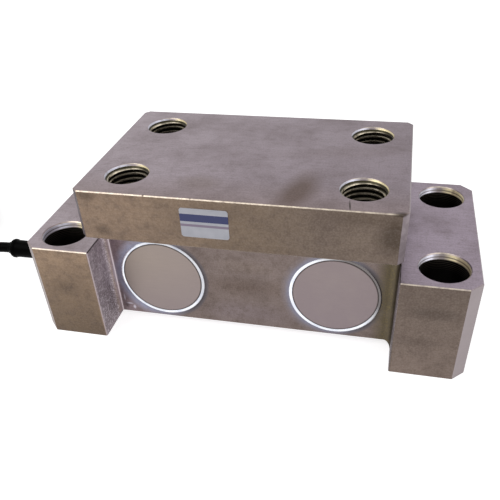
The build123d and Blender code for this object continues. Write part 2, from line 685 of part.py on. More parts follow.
# Cores and screen drain: five wires leave the sleeve and lie in the slot, with bare tips
tail_out = Vector(*polar(0, 0, 1, tail_end_angle - 90, 0))
slot_floor_z = coil_top_z - slot_size
with BuildPart() as tips:
    for name, place, landing, aside, lift, diameter in FAN:
        around = math.radians(90 - 360 * place / len(FAN))
        reach = tail_radius + FAN_RADIUS * math.cos(around)
        high_z = tail_z + FAN_RADIUS * math.sin(around)
        low_z = slot_floor_z + lift + diameter / 2
        start = polar(coil_x, coil_y, reach, tail_end_angle, high_z)
        stops = [start, tuple(Vector(*start) + tail_out * FAN_STRAIGHT)]
        for turned in (landing, *FAN_SWEEPS):
            stops.append(polar(coil_x, coil_y, tail_radius + aside, tail_end_angle + turned, low_z))
        core = tube(stops, diameter)
        core.label = name
        export_step(core, f"parts/{name}.step")
        heading = polar(0, 0, 1, tail_end_angle + FAN_SWEEPS[-1] - 90, 0)
        with BuildSketch(Plane(origin=stops[-1], z_dir=heading)):
            Circle(min(diameter, TIP_DIAMETER) / 2)
        extrude(amount=TIP_LENGTH)
tips.part.label = "core_tips"
export_step(tips.part, "parts/core_tips.step")

# Sticker on the front of the plate
with BuildPart() as label:
    label_x = LABEL_FROM_END + LABEL_LENGTH / 2 - PLATE_LENGTH / 2
    label_z = plate_top_z - LABEL_FROM_TOP - LABEL_HEIGHT / 2
    with BuildSketch(Plane(origin=(label_x, -side_y, label_z), x_dir=(1, 0, 0), z_dir=(0, -1, 0))):
        RectangleRounded(LABEL_LENGTH, LABEL_HEIGHT, LABEL_CORNER)
    extrude(amount=LABEL_THICKNESS)
label.part.label = "label"
export_step(label.part, "parts/label.step")
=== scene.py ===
import math

import bmesh
import bpy
from mathutils import Matrix, Vector


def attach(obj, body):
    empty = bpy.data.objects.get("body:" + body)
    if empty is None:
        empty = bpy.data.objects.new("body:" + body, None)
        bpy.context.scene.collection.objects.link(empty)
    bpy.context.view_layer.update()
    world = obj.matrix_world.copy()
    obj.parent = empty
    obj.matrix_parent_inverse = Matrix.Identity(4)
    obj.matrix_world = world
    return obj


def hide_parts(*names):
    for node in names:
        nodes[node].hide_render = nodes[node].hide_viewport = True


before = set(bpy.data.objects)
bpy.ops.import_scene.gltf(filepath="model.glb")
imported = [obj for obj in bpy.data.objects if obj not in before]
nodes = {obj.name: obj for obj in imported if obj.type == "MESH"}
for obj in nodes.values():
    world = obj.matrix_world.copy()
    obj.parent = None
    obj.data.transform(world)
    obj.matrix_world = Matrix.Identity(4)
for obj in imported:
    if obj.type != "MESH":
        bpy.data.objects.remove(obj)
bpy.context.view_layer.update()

MM = 0.001

# Viewpoint
# The photograph was taken by hand from in front and above, a little right of the middle, with the
# camera turned about three degrees, and its picture was cropped low, which the shift repeats.
camera = bpy.data.objects.new("photo_camera", bpy.data.cameras.new("photo_camera"))
bpy.context.scene.collection.objects.link(camera)
camera.location = (0.0731, -0.30163, 0.24207)
aim = Vector((-0.0086, 0.00635, 0.00027))
toward = (aim - camera.location).to_track_quat("-Z", "Y").to_matrix()
camera_turn = math.radians(-3.202)
camera.rotation_euler = (toward @ Matrix.Rotation(camera_turn, 3, "Z")).to_euler()
camera.data.lens = 43.1
camera.data.shift_y = 0.0759
camera.data.clip_start = 0.02
bpy.context.scene.camera = camera

# Signal cable
# A round four-core cable in an extruded black PVC jacket. It comes straight out of the boot, sinks to
# the floor and is put away in a coil of three layers, wound inwards, outwards and inwards again, with
# its stripped end in the top inner slot.
CABLE_RADIUS = 3.4
CABLE_Y, CABLE_Z = -15.0, 30.2
COIL_MIDDLE = (-279.0, 34.2)
COIL_RADIUS, COIL_HEIGHT = 49.2, 4.6
SLOT_PITCH = 2 * CABLE_RADIUS
POINTS_PER_TURN = 16
LEAD = [
    (-165.5, CABLE_Y, CABLE_Z),
    (-174.0, CABLE_Y, CABLE_Z),
    (-189.0, -15.2, 27.01),
    (-207.0, -15.7, 18.9),
    (-224.5, -15.5, 9.6),
    (-238.5, -14.9, 4.7),
    (-252.25, -14.9, 4.7),
]
# Where the winding steps over: from and to which angle, and into which column and layer of the coil,
# with columns counted inwards and layers upwards
WINDING = [
    (-355, -435, 1, 0),
    (-675, -795, 2, 0),
    (-1035, -1155, 3, 0),
    (-1350, -1470, 3, 1),
    (-1680, -1800, 2, 1),
    (-2040, -2160, 1, 1),
    (-2400, -2520, 0, 1),
    (-2715, -2835, 0, 2),
    (-3045, -3165, 1, 2),
    (-3405, -3525, 2, 2),
    (-3765, -3885, 3, 2),
]
WINDING_START, WINDING_END = -90, -4120
# A wave texture of scale 1 repeats after this length
ONE_WAVE = 0.314


def tone(code):
    """An sRGB hex colour as the linear colour that Blender's sockets take."""
    parts = [int(code[i:i + 2], 16) / 255 for i in (1, 3, 5)]
    return [p / 12.92 if p <= 0.04045 else ((p + 0.055) / 1.055) ** 2.4 for p in parts] + [1.0]


def new_finish(name):
    """An empty material and its node tree."""
    material = bpy.data.materials.new(name)
    material.use_nodes = True
    material.node_tree.nodes.clear()
    return material, material.node_tree


def put(tree, kind, inputs=None, out=0, **settings):
    """Adds a shader node with its settings, values and links. Gives one of its outputs, or the node."""
    node = tree.nodes.new("ShaderNode" + kind)
    for name, value in settings.items():
        setattr(node, name, value)
    for socket, value in (inputs or {}).items():
        if isinstance(value, bpy.types.NodeSocket):
            tree.links.new(value, node.inputs[socket])
        else:
            node.inputs[socket].default_value = value
    return node if out is None else node.outputs[out]


def in_millimetres(tree):
    """The piece's own coordinates in millimetres."""
    place = put(tree, "TexCoord", out="Object")
    return put(tree, "VectorMath", {0: place, "Scale": 1 / MM}, operation="SCALE")


def meet(tree, *masks):
    """Where all the masks meet."""
    shared = masks[0]
    for mask in masks[1:]:
        shared = put(tree, "Math", {0: shared, 1: mask}, operation="MULTIPLY")
    return shared


def wash(tree, colour, over, *masks):
    """A colour with a tone, or with another colour, laid over it where all the masks meet."""
    over = tone(over) if isinstance(over, str) else over
    return put(tree, "Mix", {0: meet(tree, *masks), 6: colour, 7: over}, 2, data_type="RGBA")


def winding_at(angle):
    """The radius and height of the winding at an angle that runs on from turn to turn."""
    column, layer = 0, 0
    for start, end, new_column, new_layer in WINDING:
        share = min(max((start - angle) / (start - end), 0), 1)
        eased = (1 - math.cos(math.pi * share)) / 2
        column += (new_column - column) * eased
        layer += (new_layer - layer) * eased
    return COIL_RADIUS - column * SLOT_PITCH, COIL_HEIGHT + layer * SLOT_PITCH


def on_coil(angle, radius, height):
    """A point of the coil, in millimetres."""
    turned = math.radians(angle)
    middle_x, middle_y = COIL_MIDDLE
    return (middle_x + radius * math.cos(turned), middle_y + radius * math.sin(turned), height)


cable_points = list(LEAD)
step = 360 / POINTS_PER_TURN
angle = WINDING_START - step / 2
while angle > WINDING_END + step / 3:
    radius, height = winding_at(angle)
    cable_points.append(on_coil(angle, radius / math.cos(math.radians(step / 2)), height))
    angle -= step
cable_points.append(on_coil(WINDING_END, *winding_at(WINDING_END)))

cable_curve = bpy.data.curves.new("signal_cable", "CURVE")
cable_curve.dimensions = "3D"
cable_spline = cable_curve.splines.new("NURBS")
cable_spline.points.add(len(cable_points) - 1)
for point, place in zip(cable_spline.points, cable_points):
    point.co = (*(c * MM for c in place), 1.0)
cable_spline.order_u = 3
cable_spline.use_endpoint_u = True
cable_spline.resolution_u = 5
cable_curve.bevel_depth = CABLE_RADIUS * MM
cable_curve.bevel_resolution = 5
cable_curve.use_fill_caps = True
cable = bpy.data.objects.new("signal_cable", cable_curve)
bpy.context.scene.collection.objects.link(cable)

# Black extruded PVC with a faint orange peel, handled dull: the eye sees a deep black that keeps
# hardly any highlight
pvc_jacket, tree = new_finish("pvc_jacket_black")
here = in_millimetres(tree)
handled = put(tree, "TexNoise", {"Vector": here, "Scale": 1 / 14, "Detail": 4.0})
orange_peel = put(tree, "TexNoise", {"Vector": here, "Scale": 1 / 1.1})
put(tree, "OutputMaterial", {"Surface": put(tree, "BsdfPrincipled", {
    "Base Color": wash(tree, tone("#010101"), "#070707", put(tree, "MapRange", {0: handled, 1: 0.4, 2: 0.7})),
    "Roughness": put(tree, "MapRange", {0: handled, 1: 0.3, 2: 0.75, 3: 0.28, 4: 0.42}),
    "IOR": 1.5,
    "Specular IOR Level": 0.02,
    "Normal": put(tree, "Bump", {"Height": orange_peel, "Strength": 0.12, "Distance": 0.05 * MM}),
})}, None)
cable_curve.materials.append(pvc_jacket)

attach(cable, "root")
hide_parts("cable_lead", "cable_coil", "cable_tail")


def dress(material, *names):
    """Gives CAD nodes a material in place of their plain ones."""
    for name in names:
        for slot in nodes[name].material_slots:
            slot.material = material


dress(pvc_jacket, "cable_inner")

# Coil ties and the cable's stripped end
# Three nylon cable ties hold the coil. A shrunk sleeve closes the jacket's end, and out of it come
# four cores in coloured PVC and the screen's tinned drain wire, with bare tinned tips.

# Moulded nylon: black and waxy, with the fine cross ribs of the ratchet
tie_nylon, tree = new_finish("moulded_black_nylon")
here = in_millimetres(tree)
waxy = put(tree, "TexNoise", {"Vector": here, "Scale": 1 / 3, "Detail": 3.0})
ribs = put(tree, "TexWave", {"Vector": here, "Scale": ONE_WAVE / 1.2}, "Fac", bands_direction="Z")
put(tree, "OutputMaterial", {"Surface": put(tree, "BsdfPrincipled", {
    "Base Color": wash(tree, tone("#151516"), "#262628", put(tree, "MapRange", {0: waxy, 1: 0.4, 2: 0.7})),
    "Roughness": put(tree, "MapRange", {0: waxy, 1: 0.3, 2: 0.7, 3: 0.35, 4: 0.5}),
    "IOR": 1.53,
    "Normal": put(tree, "Bump", {"Height": ribs, "Strength": 0.3, "Distance": 0.15 * MM}),
})}, None)
dress(tie_nylon, "coil_tie_1", "coil_tie_2", "coil_tie_3")

# Heat-shrink tubing: satin black, a little uneven where it has drawn tight
shrink_sleeve, tree = new_finish("heat_shrink_tubing")
here = in_millimetres(tree)
drawn = put(tree, "TexNoise", {"Vector": here, "Scale": 1 / 2.5, "Detail": 2.0})
put(tree, "OutputMaterial", {"Surface": put(tree, "BsdfPrincipled", {
    "Base Color": wash(tree, tone("#101012"), "#222225", put(tree, "MapRange", {0: drawn, 1: 0.35, 2: 0.7})),
    "Roughness": put(tree, "MapRange", {0: drawn, 1: 0.3, 2: 0.7, 3: 0.4, 4: 0.55}),
    "IOR": 1.5,
    "Normal": put(tree, "Bump", {"Height": drawn, "Strength": 0.35, "Distance": 0.1 * MM}),
})}, None)
dress(shrink_sleeve, "end_sleeve")

# Core insulation: glossy extruded PVC in the colours that such cells use, slightly dusty
for core, code, dust in (
    ("core_red", "#a81f1c", "#c0483f"),
    ("core_black", "#141416", "#2b2b2e"),
    ("core_green", "#1f6b35", "#44895a"),
    ("core_white", "#d9d8d2", "#c2bfb4"),
):
    core_pvc, tree = new_finish(core + "_pvc")
    here = in_millimetres(tree)
    dusted = put(tree, "TexNoise", {"Vector": here, "Scale": 1 / 2, "Detail": 3.0})
    put(tree, "OutputMaterial", {"Surface": put(tree, "BsdfPrincipled", {
        "Base Color": wash(
            tree, tone(code), dust, put(tree, "MapRange", {0: dusted, 1: 0.45, 2: 0.75, 4: 0.6})),
        "Roughness": put(tree, "MapRange", {0: dusted, 1: 0.3, 2: 0.7, 3: 0.26, 4: 0.42}),
        "IOR": 1.5,
        "Normal": put(tree, "Bump", {"Height": dusted, "Strength": 0.1, "Distance": 0.05 * MM}),
    })}, None)
    dress(core_pvc, core)

# Tinned copper strands: grey, satin, with the twist of the strands as slanting ridges
tinned_copper, tree = new_finish("tinned_copper_strand")
here = in_millimetres(tree)
slanted = put(tree, "Mapping", {"Vector": here, "Rotation": (0.6, 0.6, 0.8)})
strands = put(tree, "TexWave", {"Vector": slanted, "Scale": ONE_WAVE / 0.45, "Distortion": 0.5}, "Fac")
put(tree, "OutputMaterial", {"Surface": put(tree, "BsdfPrincipled", {
    "Base Color": wash(tree, tone("#c9c7c3"), "#7f7a72", put(tree, "MapRange", {0: strands, 1: 0.6, 2: 0.1})),
    "Metallic": 1.0,
    "Roughness": put(tree, "MapRange", {0: strands, 3: 0.42, 4: 0.28}),
    "Normal": put(tree, "Bump", {"Height": strands, "Strength": 0.5, "Distance": 0.08 * MM}),
})}, None)
dress(tinned_copper, "screen_drain", "core_tips", *(n for n in nodes if n.startswith("gauge_jumpers_")))

# Strain relief boot
# A moulded sleeve of black rubber that is pushed over the cable and stands on the gland's nut. It ends
# in a rounded rim, and a thin lip beyond the rim grips the cable.

# Places along the boot and its radius there: foot, waist, rim and lip
BOOT_PROFILE = [
    (-143.5, 3.45), (-143.5, 5.55), (-143.75, 5.75),
    (-146.0, 5.68), (-150.0, 5.6), (-158.9, 5.66), (-159.6, 5.8),
    (-160.3, 6.1), (-160.8, 6.24), (-161.4, 6.26), (-162.0, 6.12), (-162.5, 5.88), (-162.8, 5.4),
    (-162.8, 4.2), (-163.0, 3.95), (-165.3, 3.93), (-165.5, 3.75), (-165.5, 3.45),
]


def finished(shape, name, sharp=None, shift=(0, 0, 0)):
    """A mesh made in millimetres as an object in metres, smooth where its faces meet below an angle."""
    bmesh.ops.recalc_face_normals(shape, faces=shape.faces)
    if shape.calc_volume(signed=True) < 0:
        bmesh.ops.reverse_faces(shape, faces=shape.faces)
    bmesh.ops.translate(shape, vec=shift, verts=shape.verts)
    bmesh.ops.scale(shape, vec=(MM, MM, MM), verts=shape.verts)
    mesh = bpy.data.meshes.new(name)
    shape.to_mesh(mesh)
    shape.free()
    if sharp:
        mesh.shade_smooth()
        mesh.set_sharp_from_angle(angle=math.radians(sharp))
    piece = bpy.data.objects.new(name, mesh)
    bpy.context.scene.collection.objects.link(piece)
    return piece


shape = bmesh.new()
corners = [shape.verts.new((x, CABLE_Y, CABLE_Z + radius)) for x, radius in BOOT_PROFILE]
outline = [shape.edges.new((corners[i - 1], corners[i])) for i in range(len(corners))]
bmesh.ops.spin(
    shape, geom=corners + outline, cent=(0, CABLE_Y, CABLE_Z), axis=(1, 0, 0), dvec=(0, 0, 0),
    angle=2 * math.pi, steps=64, use_merge=True,
)
boot = finished(shape, "moulded_boot", sharp=50)

# Moulded nitrile rubber, a little dusty: the eye sees a deep black with hardly any sheen
boot_rubber, tree = new_finish("moulded_nitrile_rubber")
here = in_millimetres(tree)
dusty = put(tree, "TexNoise", {"Vector": here, "Scale": 1 / 6, "Detail": 4.0})
pores = put(tree, "TexNoise", {"Vector": here, "Scale": 1 / 0.6})
put(tree, "OutputMaterial", {"Surface": put(tree, "BsdfPrincipled", {
    "Base Color": wash(tree, tone("#010101"), "#070706", put(tree, "MapRange", {0: dusty, 1: 0.4, 2: 0.75})),
    "Roughness": put(tree, "MapRange", {0: dusty, 1: 0.3, 2: 0.7, 3: 0.3, 4: 0.42}),
    "IOR": 1.5,
    "Specular IOR Level": 0.02,
    "Normal": put(tree, "Bump", {"Height": pores, "Strength": 0.15, "Distance": 0.04 * MM}),
})}, None)
boot.data.materials.append(boot_rubber)
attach(boot, "root")
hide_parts("strain_relief_boot")

# Cable gland
# A nickel-plated brass gland screwed into the end of the foot on a rubber gasket. Its domed nut,
# with corners chamfered on the lathe, squeezes a rubber bush round the cable.
NUT_FROM, NUT_FACE_END, NUT_END = -132.0, -141.0, -143.5
NUT_FLATS = 15.0
NUT_BORE = 3.7
NECK_RADIUS, NECK_END = 5.55, -140.0
CHAMFER_RADIUS, CHAMFER_SLOPE = 7.62, 1.7
DOME_RADIUS, DOME_DROP, DOME_POWER = 7.0, 1.15, 1.6
# Rings of the nut: its rear chamfer, its flats, its front chamfer and its dome
NUT_RINGS = (
    -132.2, -132.4, -132.7, -136.5, -140.3, -140.6, -140.8, -141.0,
    -141.02, -141.6, -142.3, -142.9, -143.3, -143.5,
)


def nut_limit(x):
    """How far from its axis the nut's metal may reach at a place along it."""
    if x < NUT_FACE_END - 0.01:
        share = (NUT_FACE_END - x) / (NUT_FACE_END - NUT_END)
        return DOME_RADIUS - DOME_DROP * share ** DOME_POWER
    return CHAMFER_RADIUS + CHAMFER_SLOPE * min(x - NUT_FACE_END, NUT_FROM - x)


shape = bmesh.new()
bmesh.ops.create_circle(shape, cap_ends=False, segments=6, radius=NUT_FLATS / 2 / math.cos(math.pi / 6))
bmesh.ops.subdivide_edges(shape, edges=shape.edges[:], cuts=11)
bmesh.ops.transform(shape, verts=shape.verts, matrix=(
    Matrix.Translation((NUT_FROM, CABLE_Y, CABLE_Z)) @ Matrix.Rotation(math.radians(90), 4, "Y")))
rim = shape.edges[:]
hollow = ((NUT_END, NUT_BORE), (NECK_END, NUT_BORE), (NECK_END, NECK_RADIUS), (NUT_FROM, NECK_RADIUS))
for x, radius in [(x, None) for x in NUT_RINGS] + list(hollow):
    moved = bmesh.ops.extrude_edge_only(shape, edges=rim)["geom"]
    rim = [g for g in moved if isinstance(g, bmesh.types.BMEdge)]
    for vert in (g for g in moved if isinstance(g, bmesh.types.BMVert)):
        vert.co.x = x
        if radius:
            away = Vector((0, vert.co.y - CABLE_Y, vert.co.z - CABLE_Z)).normalized() * radius
            vert.co = Vector((x, CABLE_Y, CABLE_Z)) + away
bmesh.ops.bridge_loops(shape, edges=[e for e in shape.edges if e.is_boundary])
for vert in shape.verts:
    away = Vector((0, vert.co.y - CABLE_Y, vert.co.z - CABLE_Z))
    if away.length > nut_limit(vert.co.x):
        vert.co = Vector((vert.co.x, CABLE_Y, CABLE_Z)) + away.normalized() * nut_limit(vert.co.x)
domed_nut = finished(shape, "domed_nut", sharp=28)

# Bright nickel on turned brass: warm white metal with fine turning lines round the cable's axis
plated_brass, tree = new_finish("nickel_plated_brass")
here = in_millimetres(tree)
film = put(tree, "TexNoise", {"Vector": here, "Scale": 1 / 5, "Detail": 3.0})
turning = put(tree, "TexWave", {"Vector": here, "Scale": ONE_WAVE / 0.35, "Distortion": 0.6}, "Fac")
put(tree, "OutputMaterial", {"Surface": put(tree, "BsdfPrincipled", {
    "Base Color": wash(tree, tone("#cdc8bd"), "#b3ab9c", put(tree, "MapRange", {0: film, 1: 0.35, 2: 0.7})),
    "Metallic": 1.0,
    "Roughness": put(tree, "MapRange", {0: film, 1: 0.3, 2: 0.7, 3: 0.2, 4: 0.34}),
    "Normal": put(tree, "Bump", {"Height": turning, "Strength": 0.12, "Distance": 0.02 * MM}),
})}, None)
domed_nut.data.materials.append(plated_brass)
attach(domed_nut, "root")
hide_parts("gland_nut")
dress(plated_brass, "gland_body")
dress(boot_rubber, "gland_gasket", "gland_seal")

# Steel body
# One billet of alloy steel, milled all over and ground on the load face, then nickel plated. The tops
# are painted a lighter cool mauve and the fronts a darker warm tan, as painted light and shade, and the
# fronts are painted darker to the right as painted shade. The inner faces of the feet are blasted, and
# every edge break carries a painted highlight.
PLATE_TOP, PLATE_BOTTOM = 100.0, 71.5
FOOT_TOP, FOOT_INNER_X, FOOT_CORNER_X = 61.0, 84.5, 117.0
BEAM_FACE_Y = 35.0
POCKET_X, POCKET_Z = 51.25, 33.0
COVER_RADIUS, WELD_RADIUS = 24.1, 26.0
PLATE_HOLE, PLATE_HOLE_RADIUS = (62.75, 33.0, 0), 12.0
FOOT_BORE, FOOT_BORE_RADIUS = (106.5, 37.5, 0), 13.0

cell_steel, tree = new_finish("nickel_plated_milled_steel")
here = in_millimetres(tree)
spot = put(tree, "SeparateXYZ", {0: here}, None).outputs
folded = put(tree, "SeparateXYZ", {0: put(tree, "VectorMath", {0: here}, operation="ABSOLUTE")}, None).outputs
facing = put(tree, "VectorMath", {0: put(tree, "TexCoord", out="Normal")}, operation="ABSOLUTE")
facing = put(tree, "SeparateXYZ", {0: facing}, None).outputs

clouds = put(tree, "TexNoise", {"Vector": here, "Scale": 1 / 22, "Detail": 4.0, "Roughness": 0.55})
mottle = put(tree, "TexNoise", {"Vector": here, "Scale": 1 / 4.2, "Detail": 4.0, "Roughness": 0.6})
# The crystals of the plating are too fine to show, so they are drawn as coarse as a picture shows them
speckle = put(tree, "TexNoise", {"Vector": here, "Scale": 1.0, "Detail": 3.0, "Roughness": 0.7})
# The cutter's lines run along the body, drawn a millimetre wide instead of some hundredths
lines = put(tree, "Mapping", {"Vector": here, "Scale": [1 / 14, 1, 1]})
lines = put(tree, "TexNoise", {"Vector": lines, "Scale": 1.0})


def mark_or_shade(colour, code, centre, size, strength, turn=0.0):
    """The colour with a soft, ragged oval mark at a place on the body: a stain, scratch or nick, or painted
    shade.
    """
    local = put(tree, "Mapping", {
        "Vector": here, "Location": centre, "Rotation": (0, 0, math.radians(turn)), "Scale": size,
    }, vector_type="TEXTURE")
    reach = put(tree, "VectorMath", {0: local}, "Value", operation="LENGTH")
    ragged = put(tree, "Math", {0: clouds, 1: 0.9, 2: reach}, operation="MULTIPLY_ADD")
    return wash(tree, colour, code, put(tree, "MapRange", {0: ragged, 1: 1.5, 2: 0.75, 4: strength}))


def from_axis(kept, middle):
    """The distance from the nearest of the four axes that lie alike about the body's middle."""
    flat = put(tree, "VectorMath", {0: here, 1: kept}, operation="MULTIPLY")
    flat = put(tree, "VectorMath", {0: flat}, operation="ABSOLUTE")
    return put(tree, "VectorMath", {0: flat, 1: middle}, "Value", operation="DISTANCE")


def right_of(middle):
    """How far to the right of its own middle a place lies, where left and right have one alike."""
    side = put(tree, "Math", {0: spot["X"]}, operation="SIGN")
    middle = put(tree, "Math", {0: side, 1: middle}, operation="MULTIPLY")
    return put(tree, "Math", {0: spot["X"], 1: middle}, operation="SUBTRACT")


# Tops, painted lighter and cooler than the fronts as painted light
rightward = put(tree, "MapRange", {0: spot["X"], 1: -85, 2: 85})
top = wash(tree, tone("#a3979e"), "#8b7f87", rightward)
top = wash(tree, top, "#8c7b78", put(tree, "MapRange", {0: spot["Y"], 1: -30, 2: -56, 4: 0.6}))
top = mark_or_shade(top, "#5f4c44", (31, -40, 100), (11, 26, 5), 0.85, -15)
top = mark_or_shade(top, "#776863", (-21, -38, 100), (13, 10, 5), 0.5)
top = mark_or_shade(top, "#7f7174", (50, 8, 100), (40, 9, 5), 0.4, 12)
foot_top = put(tree, "MapRange", {0: spot["Z"], 1: FOOT_TOP + 1.5, 2: FOOT_TOP + 0.5})
top = wash(tree, top, "#a89ca2", foot_top)
top = wash(tree, top, "#9d909d", foot_top, rightward)

# Fronts and backs: the plate, then the beam between the feet, then the feet. The plate and the feet are
# painted darker to the right as painted shade
front = wash(tree, tone("#887463"), "#7b6b5b", put(tree, "MapRange", {0: spot["X"], 1: -55, 2: -2}))
front = wash(tree, front, "#6f6258", put(tree, "MapRange", {0: spot["X"], 1: 0, 2: 45}))
front = mark_or_shade(front, "#453b32", (80, -55, 88), (10, 5, 14), 0.9)
front = mark_or_shade(front, "#55493e", (62, -55, 96), (22, 5, 5), 0.6)
front = mark_or_shade(front, "#5d4e42", (-71, -55, 77.5), (6, 5, 4), 0.7)
front = mark_or_shade(front, "#574a40", (-77, -55, 97.5), (6, 5, 3), 0.7)
# A band of painted shade along the plate's lower edge, above the beam
front = mark_or_shade(front, "#66574a", (12, -55, 74), (34, 5, 5), 0.25)
outward = put(tree, "MapRange", {0: facing["Y"], 1: 0.3, 2: 0.6})
on_beam = put(tree, "MapRange", {0: folded["Y"], 1: BEAM_FACE_Y + 1.2, 2: BEAM_FACE_Y + 0.6})
on_beam = meet(tree, on_beam, outward)
beam = wash(tree, tone("#89797e"), "#7d706c", put(tree, "MapRange", {0: spot["X"], 1: -75, 2: -55}))
beam = mark_or_shade(beam, "#695a52", (-1, -35, 33), (30, 5, 8), 0.6)
beam = mark_or_shade(beam, "#85776f", (0, -35, 47), (16, 5, 6), 0.5)
beam = mark_or_shade(beam, "#7e7275", (2, -35, 14), (40, 5, 10), 0.6)
front = wash(tree, front, beam, on_beam)
low = put(tree, "MapRange", {0: spot["Z"], 1: 55, 2: 4})
on_right = put(tree, "MapRange", {0: spot["X"], 1: -10, 2: 10})
left_foot = wash(tree, tone("#937d68"), "#6a5a4a", low)
right_foot = wash(tree, tone("#665a52"), "#7a6c64", low)
left_foot = mark_or_shade(left_foot, "#5f5042", (-103, -55, 35), (12, 5, 8), 0.55)
right_foot = mark_or_shade(right_foot, "#4c433d", (103, -55, 44), (16, 5, 5), 0.6)
right_foot = mark_or_shade(right_foot, "#554a43", (98, -55, 24), (12, 5, 5), 0.5)
# The right foot is painted darker than the left, as painted shade
feet = wash(tree, left_foot, right_foot, on_right)
on_foot = put(tree, "Math", {0: folded["X"], 1: FOOT_INNER_X + 1.1}, operation="GREATER_THAN")
front = wash(tree, front, feet, on_foot)

# Ends, and the blasted inner faces of the feet
inner_faces = put(tree, "MapRange", {0: folded["X"], 1: FOOT_INNER_X + 0.7, 2: FOOT_INNER_X + 0.3})
below_top = put(tree, "Math", {0: spot["Z"], 1: FOOT_TOP + 0.2}, operation="LESS_THAN")
ends = wash(tree, tone("#8b8087"), "#cabcc5", inner_faces, below_top)
ends = wash(tree, ends, "#9d9197", inner_faces, put(tree, "MapRange", {0: spot["Z"], 1: 55, 2: 20}))
endways = put(tree, "MapRange", {0: facing["X"], 1: 0.55, 2: 0.9})
upward = put(tree, "MapRange", {0: facing["Z"], 1: 0.5, 2: 0.9})
# Each face takes the tops', fronts' or ends' colour by which way it faces: painted light and shade on one
# plating
colour = wash(tree, front, ends, endways)
colour = wash(tree, colour, top, upward)

# Variation of the plating, and white flecks on the blasted faces
colour = wash(tree, colour, "#5a4d48", put(tree, "MapRange", {0: clouds, 1: 0.4, 2: 0.75, 4: 0.38}))
colour = wash(tree, colour, "#56493f", put(tree, "MapRange", {0: mottle, 1: 0.46, 2: 0.8, 4: 0.4}), outward)
colour = wash(tree, colour, "#5a4e4a", put(tree, "MapRange", {0: mottle, 1: 0.5, 2: 0.8, 4: 0.3}))
colour = wash(tree, colour, "#4c423d", put(tree, "MapRange", {0: speckle, 1: 0.54, 2: 0.3, 4: 0.26}))
colour = wash(tree, colour, "#b5aaa6", put(tree, "MapRange", {0: speckle, 1: 0.45, 2: 0.8, 4: 0.12}))
colour = wash(tree, colour, "#5f5450", put(tree, "MapRange", {0: lines, 1: 0.4, 2: 0.75, 4: 0.2}))
blasted = meet(tree, inner_faces, below_top, endways)
colour = wash(tree, colour, "#f4edf4", put(tree, "MapRange", {0: speckle, 1: 0.5, 2: 0.68, 4: 0.6}), blasted)
colour = wash(tree, colour, "#75686d", put(tree, "MapRange", {0: mottle, 1: 0.5, 2: 0.72, 4: 0.3}), blasted)

# Round the welds: a blue-white haze on the left of each cover, a dark shadow on the right of it
weld_reach = from_axis((1, 0, 1), (POCKET_X, 0, POCKET_Z))
wide_haze = put(tree, "MapRange", {0: weld_reach, 1: WELD_RADIUS + 5.8, 2: WELD_RADIUS + 0.2, 4: 0.85})
near_haze = put(tree, "MapRange", {0: weld_reach, 1: WELD_RADIUS + 3.0, 2: WELD_RADIUS + 0.2, 4: 0.6})
shadow = put(tree, "MapRange", {0: weld_reach, 1: WELD_RADIUS + 3.2, 2: WELD_RADIUS + 0.8, 4: 0.75})
off_middle = right_of(POCKET_X)
leftward = put(tree, "MapRange", {0: off_middle, 1: 12, 2: -16})
rightside = put(tree, "MapRange", {0: off_middle, 1: 4, 2: 18})
hazy = put(tree, "MapRange", {0: mottle, 1: 0.3, 2: 0.6, 3: 0.35, 4: 1.0})
fainter = put(tree, "MapRange", {0: spot["X"], 1: -10, 2: 10, 3: 1.0, 4: 0.3})
colour = wash(tree, colour, "#a6a9c0", wide_haze, leftward, hazy, on_beam, fainter)
colour = wash(tree, colour, "#7d8094", near_haze, on_beam)
colour = wash(tree, colour, "#403a36", shadow, rightside, on_beam)
# A painted olive reflection of the fillet between the right cover and its foot, darker in patches
by_foot = put(tree, "MapRange", {0: spot["X"], 1: 72, 2: 79})
by_beam = put(tree, "MapRange", {0: folded["Y"], 1: BEAM_FACE_Y + 5.5, 2: BEAM_FACE_Y + 4.0})
painted_fillet_reflection = meet(tree, by_foot, below_top, by_beam, inner_faces)
cloudy = put(tree, "MapRange", {0: clouds, 1: 0.3, 2: 0.5, 3: 0.6, 4: 0.95})
colour = wash(tree, colour, "#5c5343", painted_fillet_reflection, cloudy)
colour = wash(tree, colour, "#776a48", painted_fillet_reflection, put(tree, "MapRange", {0: speckle, 1: 0.5, 2: 0.65, 4: 0.6}))

# Painted light and shade at each niche's root: a painted highlight along the left fillet and painted shade in
# the right corner
fillet_highlight = put(tree, "Math", {0: spot["X"], 1: 81.2}, operation="ADD")
fillet_highlight = put(tree, "Math", {0: fillet_highlight}, operation="ABSOLUTE")
fillet_highlight = put(tree, "MapRange", {0: fillet_highlight, 1: 0.5, 2: 0.2, 4: 0.7})
colour = wash(tree, colour, "#d6cace", fillet_highlight, below_top, outward)
# Painted shade in the corner of the right niche
corner_shade = put(tree, "MapRange", {0: spot["X"], 1: 82.8, 2: 84.0, 4: 0.5})
colour = wash(tree, colour, "#201a14", corner_shade, inner_faces, below_top)

# The scribed line on top and some small scratches beside the left cover
colour = mark_or_shade(colour, "#3c332f", (57.4, -50.3, 100), (0.5, 5.6, 2.0), 1.0, 6.8)
colour = mark_or_shade(colour, "#c9c4cf", (-78.6, -35, 15.5), (0.7, 2, 2.8), 0.7)
colour = mark_or_shade(colour, "#d5d0dc", (-76.0, -35, 11.0), (2.6, 2, 0.6), 0.7)
colour = mark_or_shade(colour, "#d5d0dc", (-73.0, -35, 8.6), (1.0, 2, 1.6), 0.7)
colour = mark_or_shade(colour, "#4d4246", (-78.0, -35, 9.6), (1.6, 2, 2.4), 0.6)
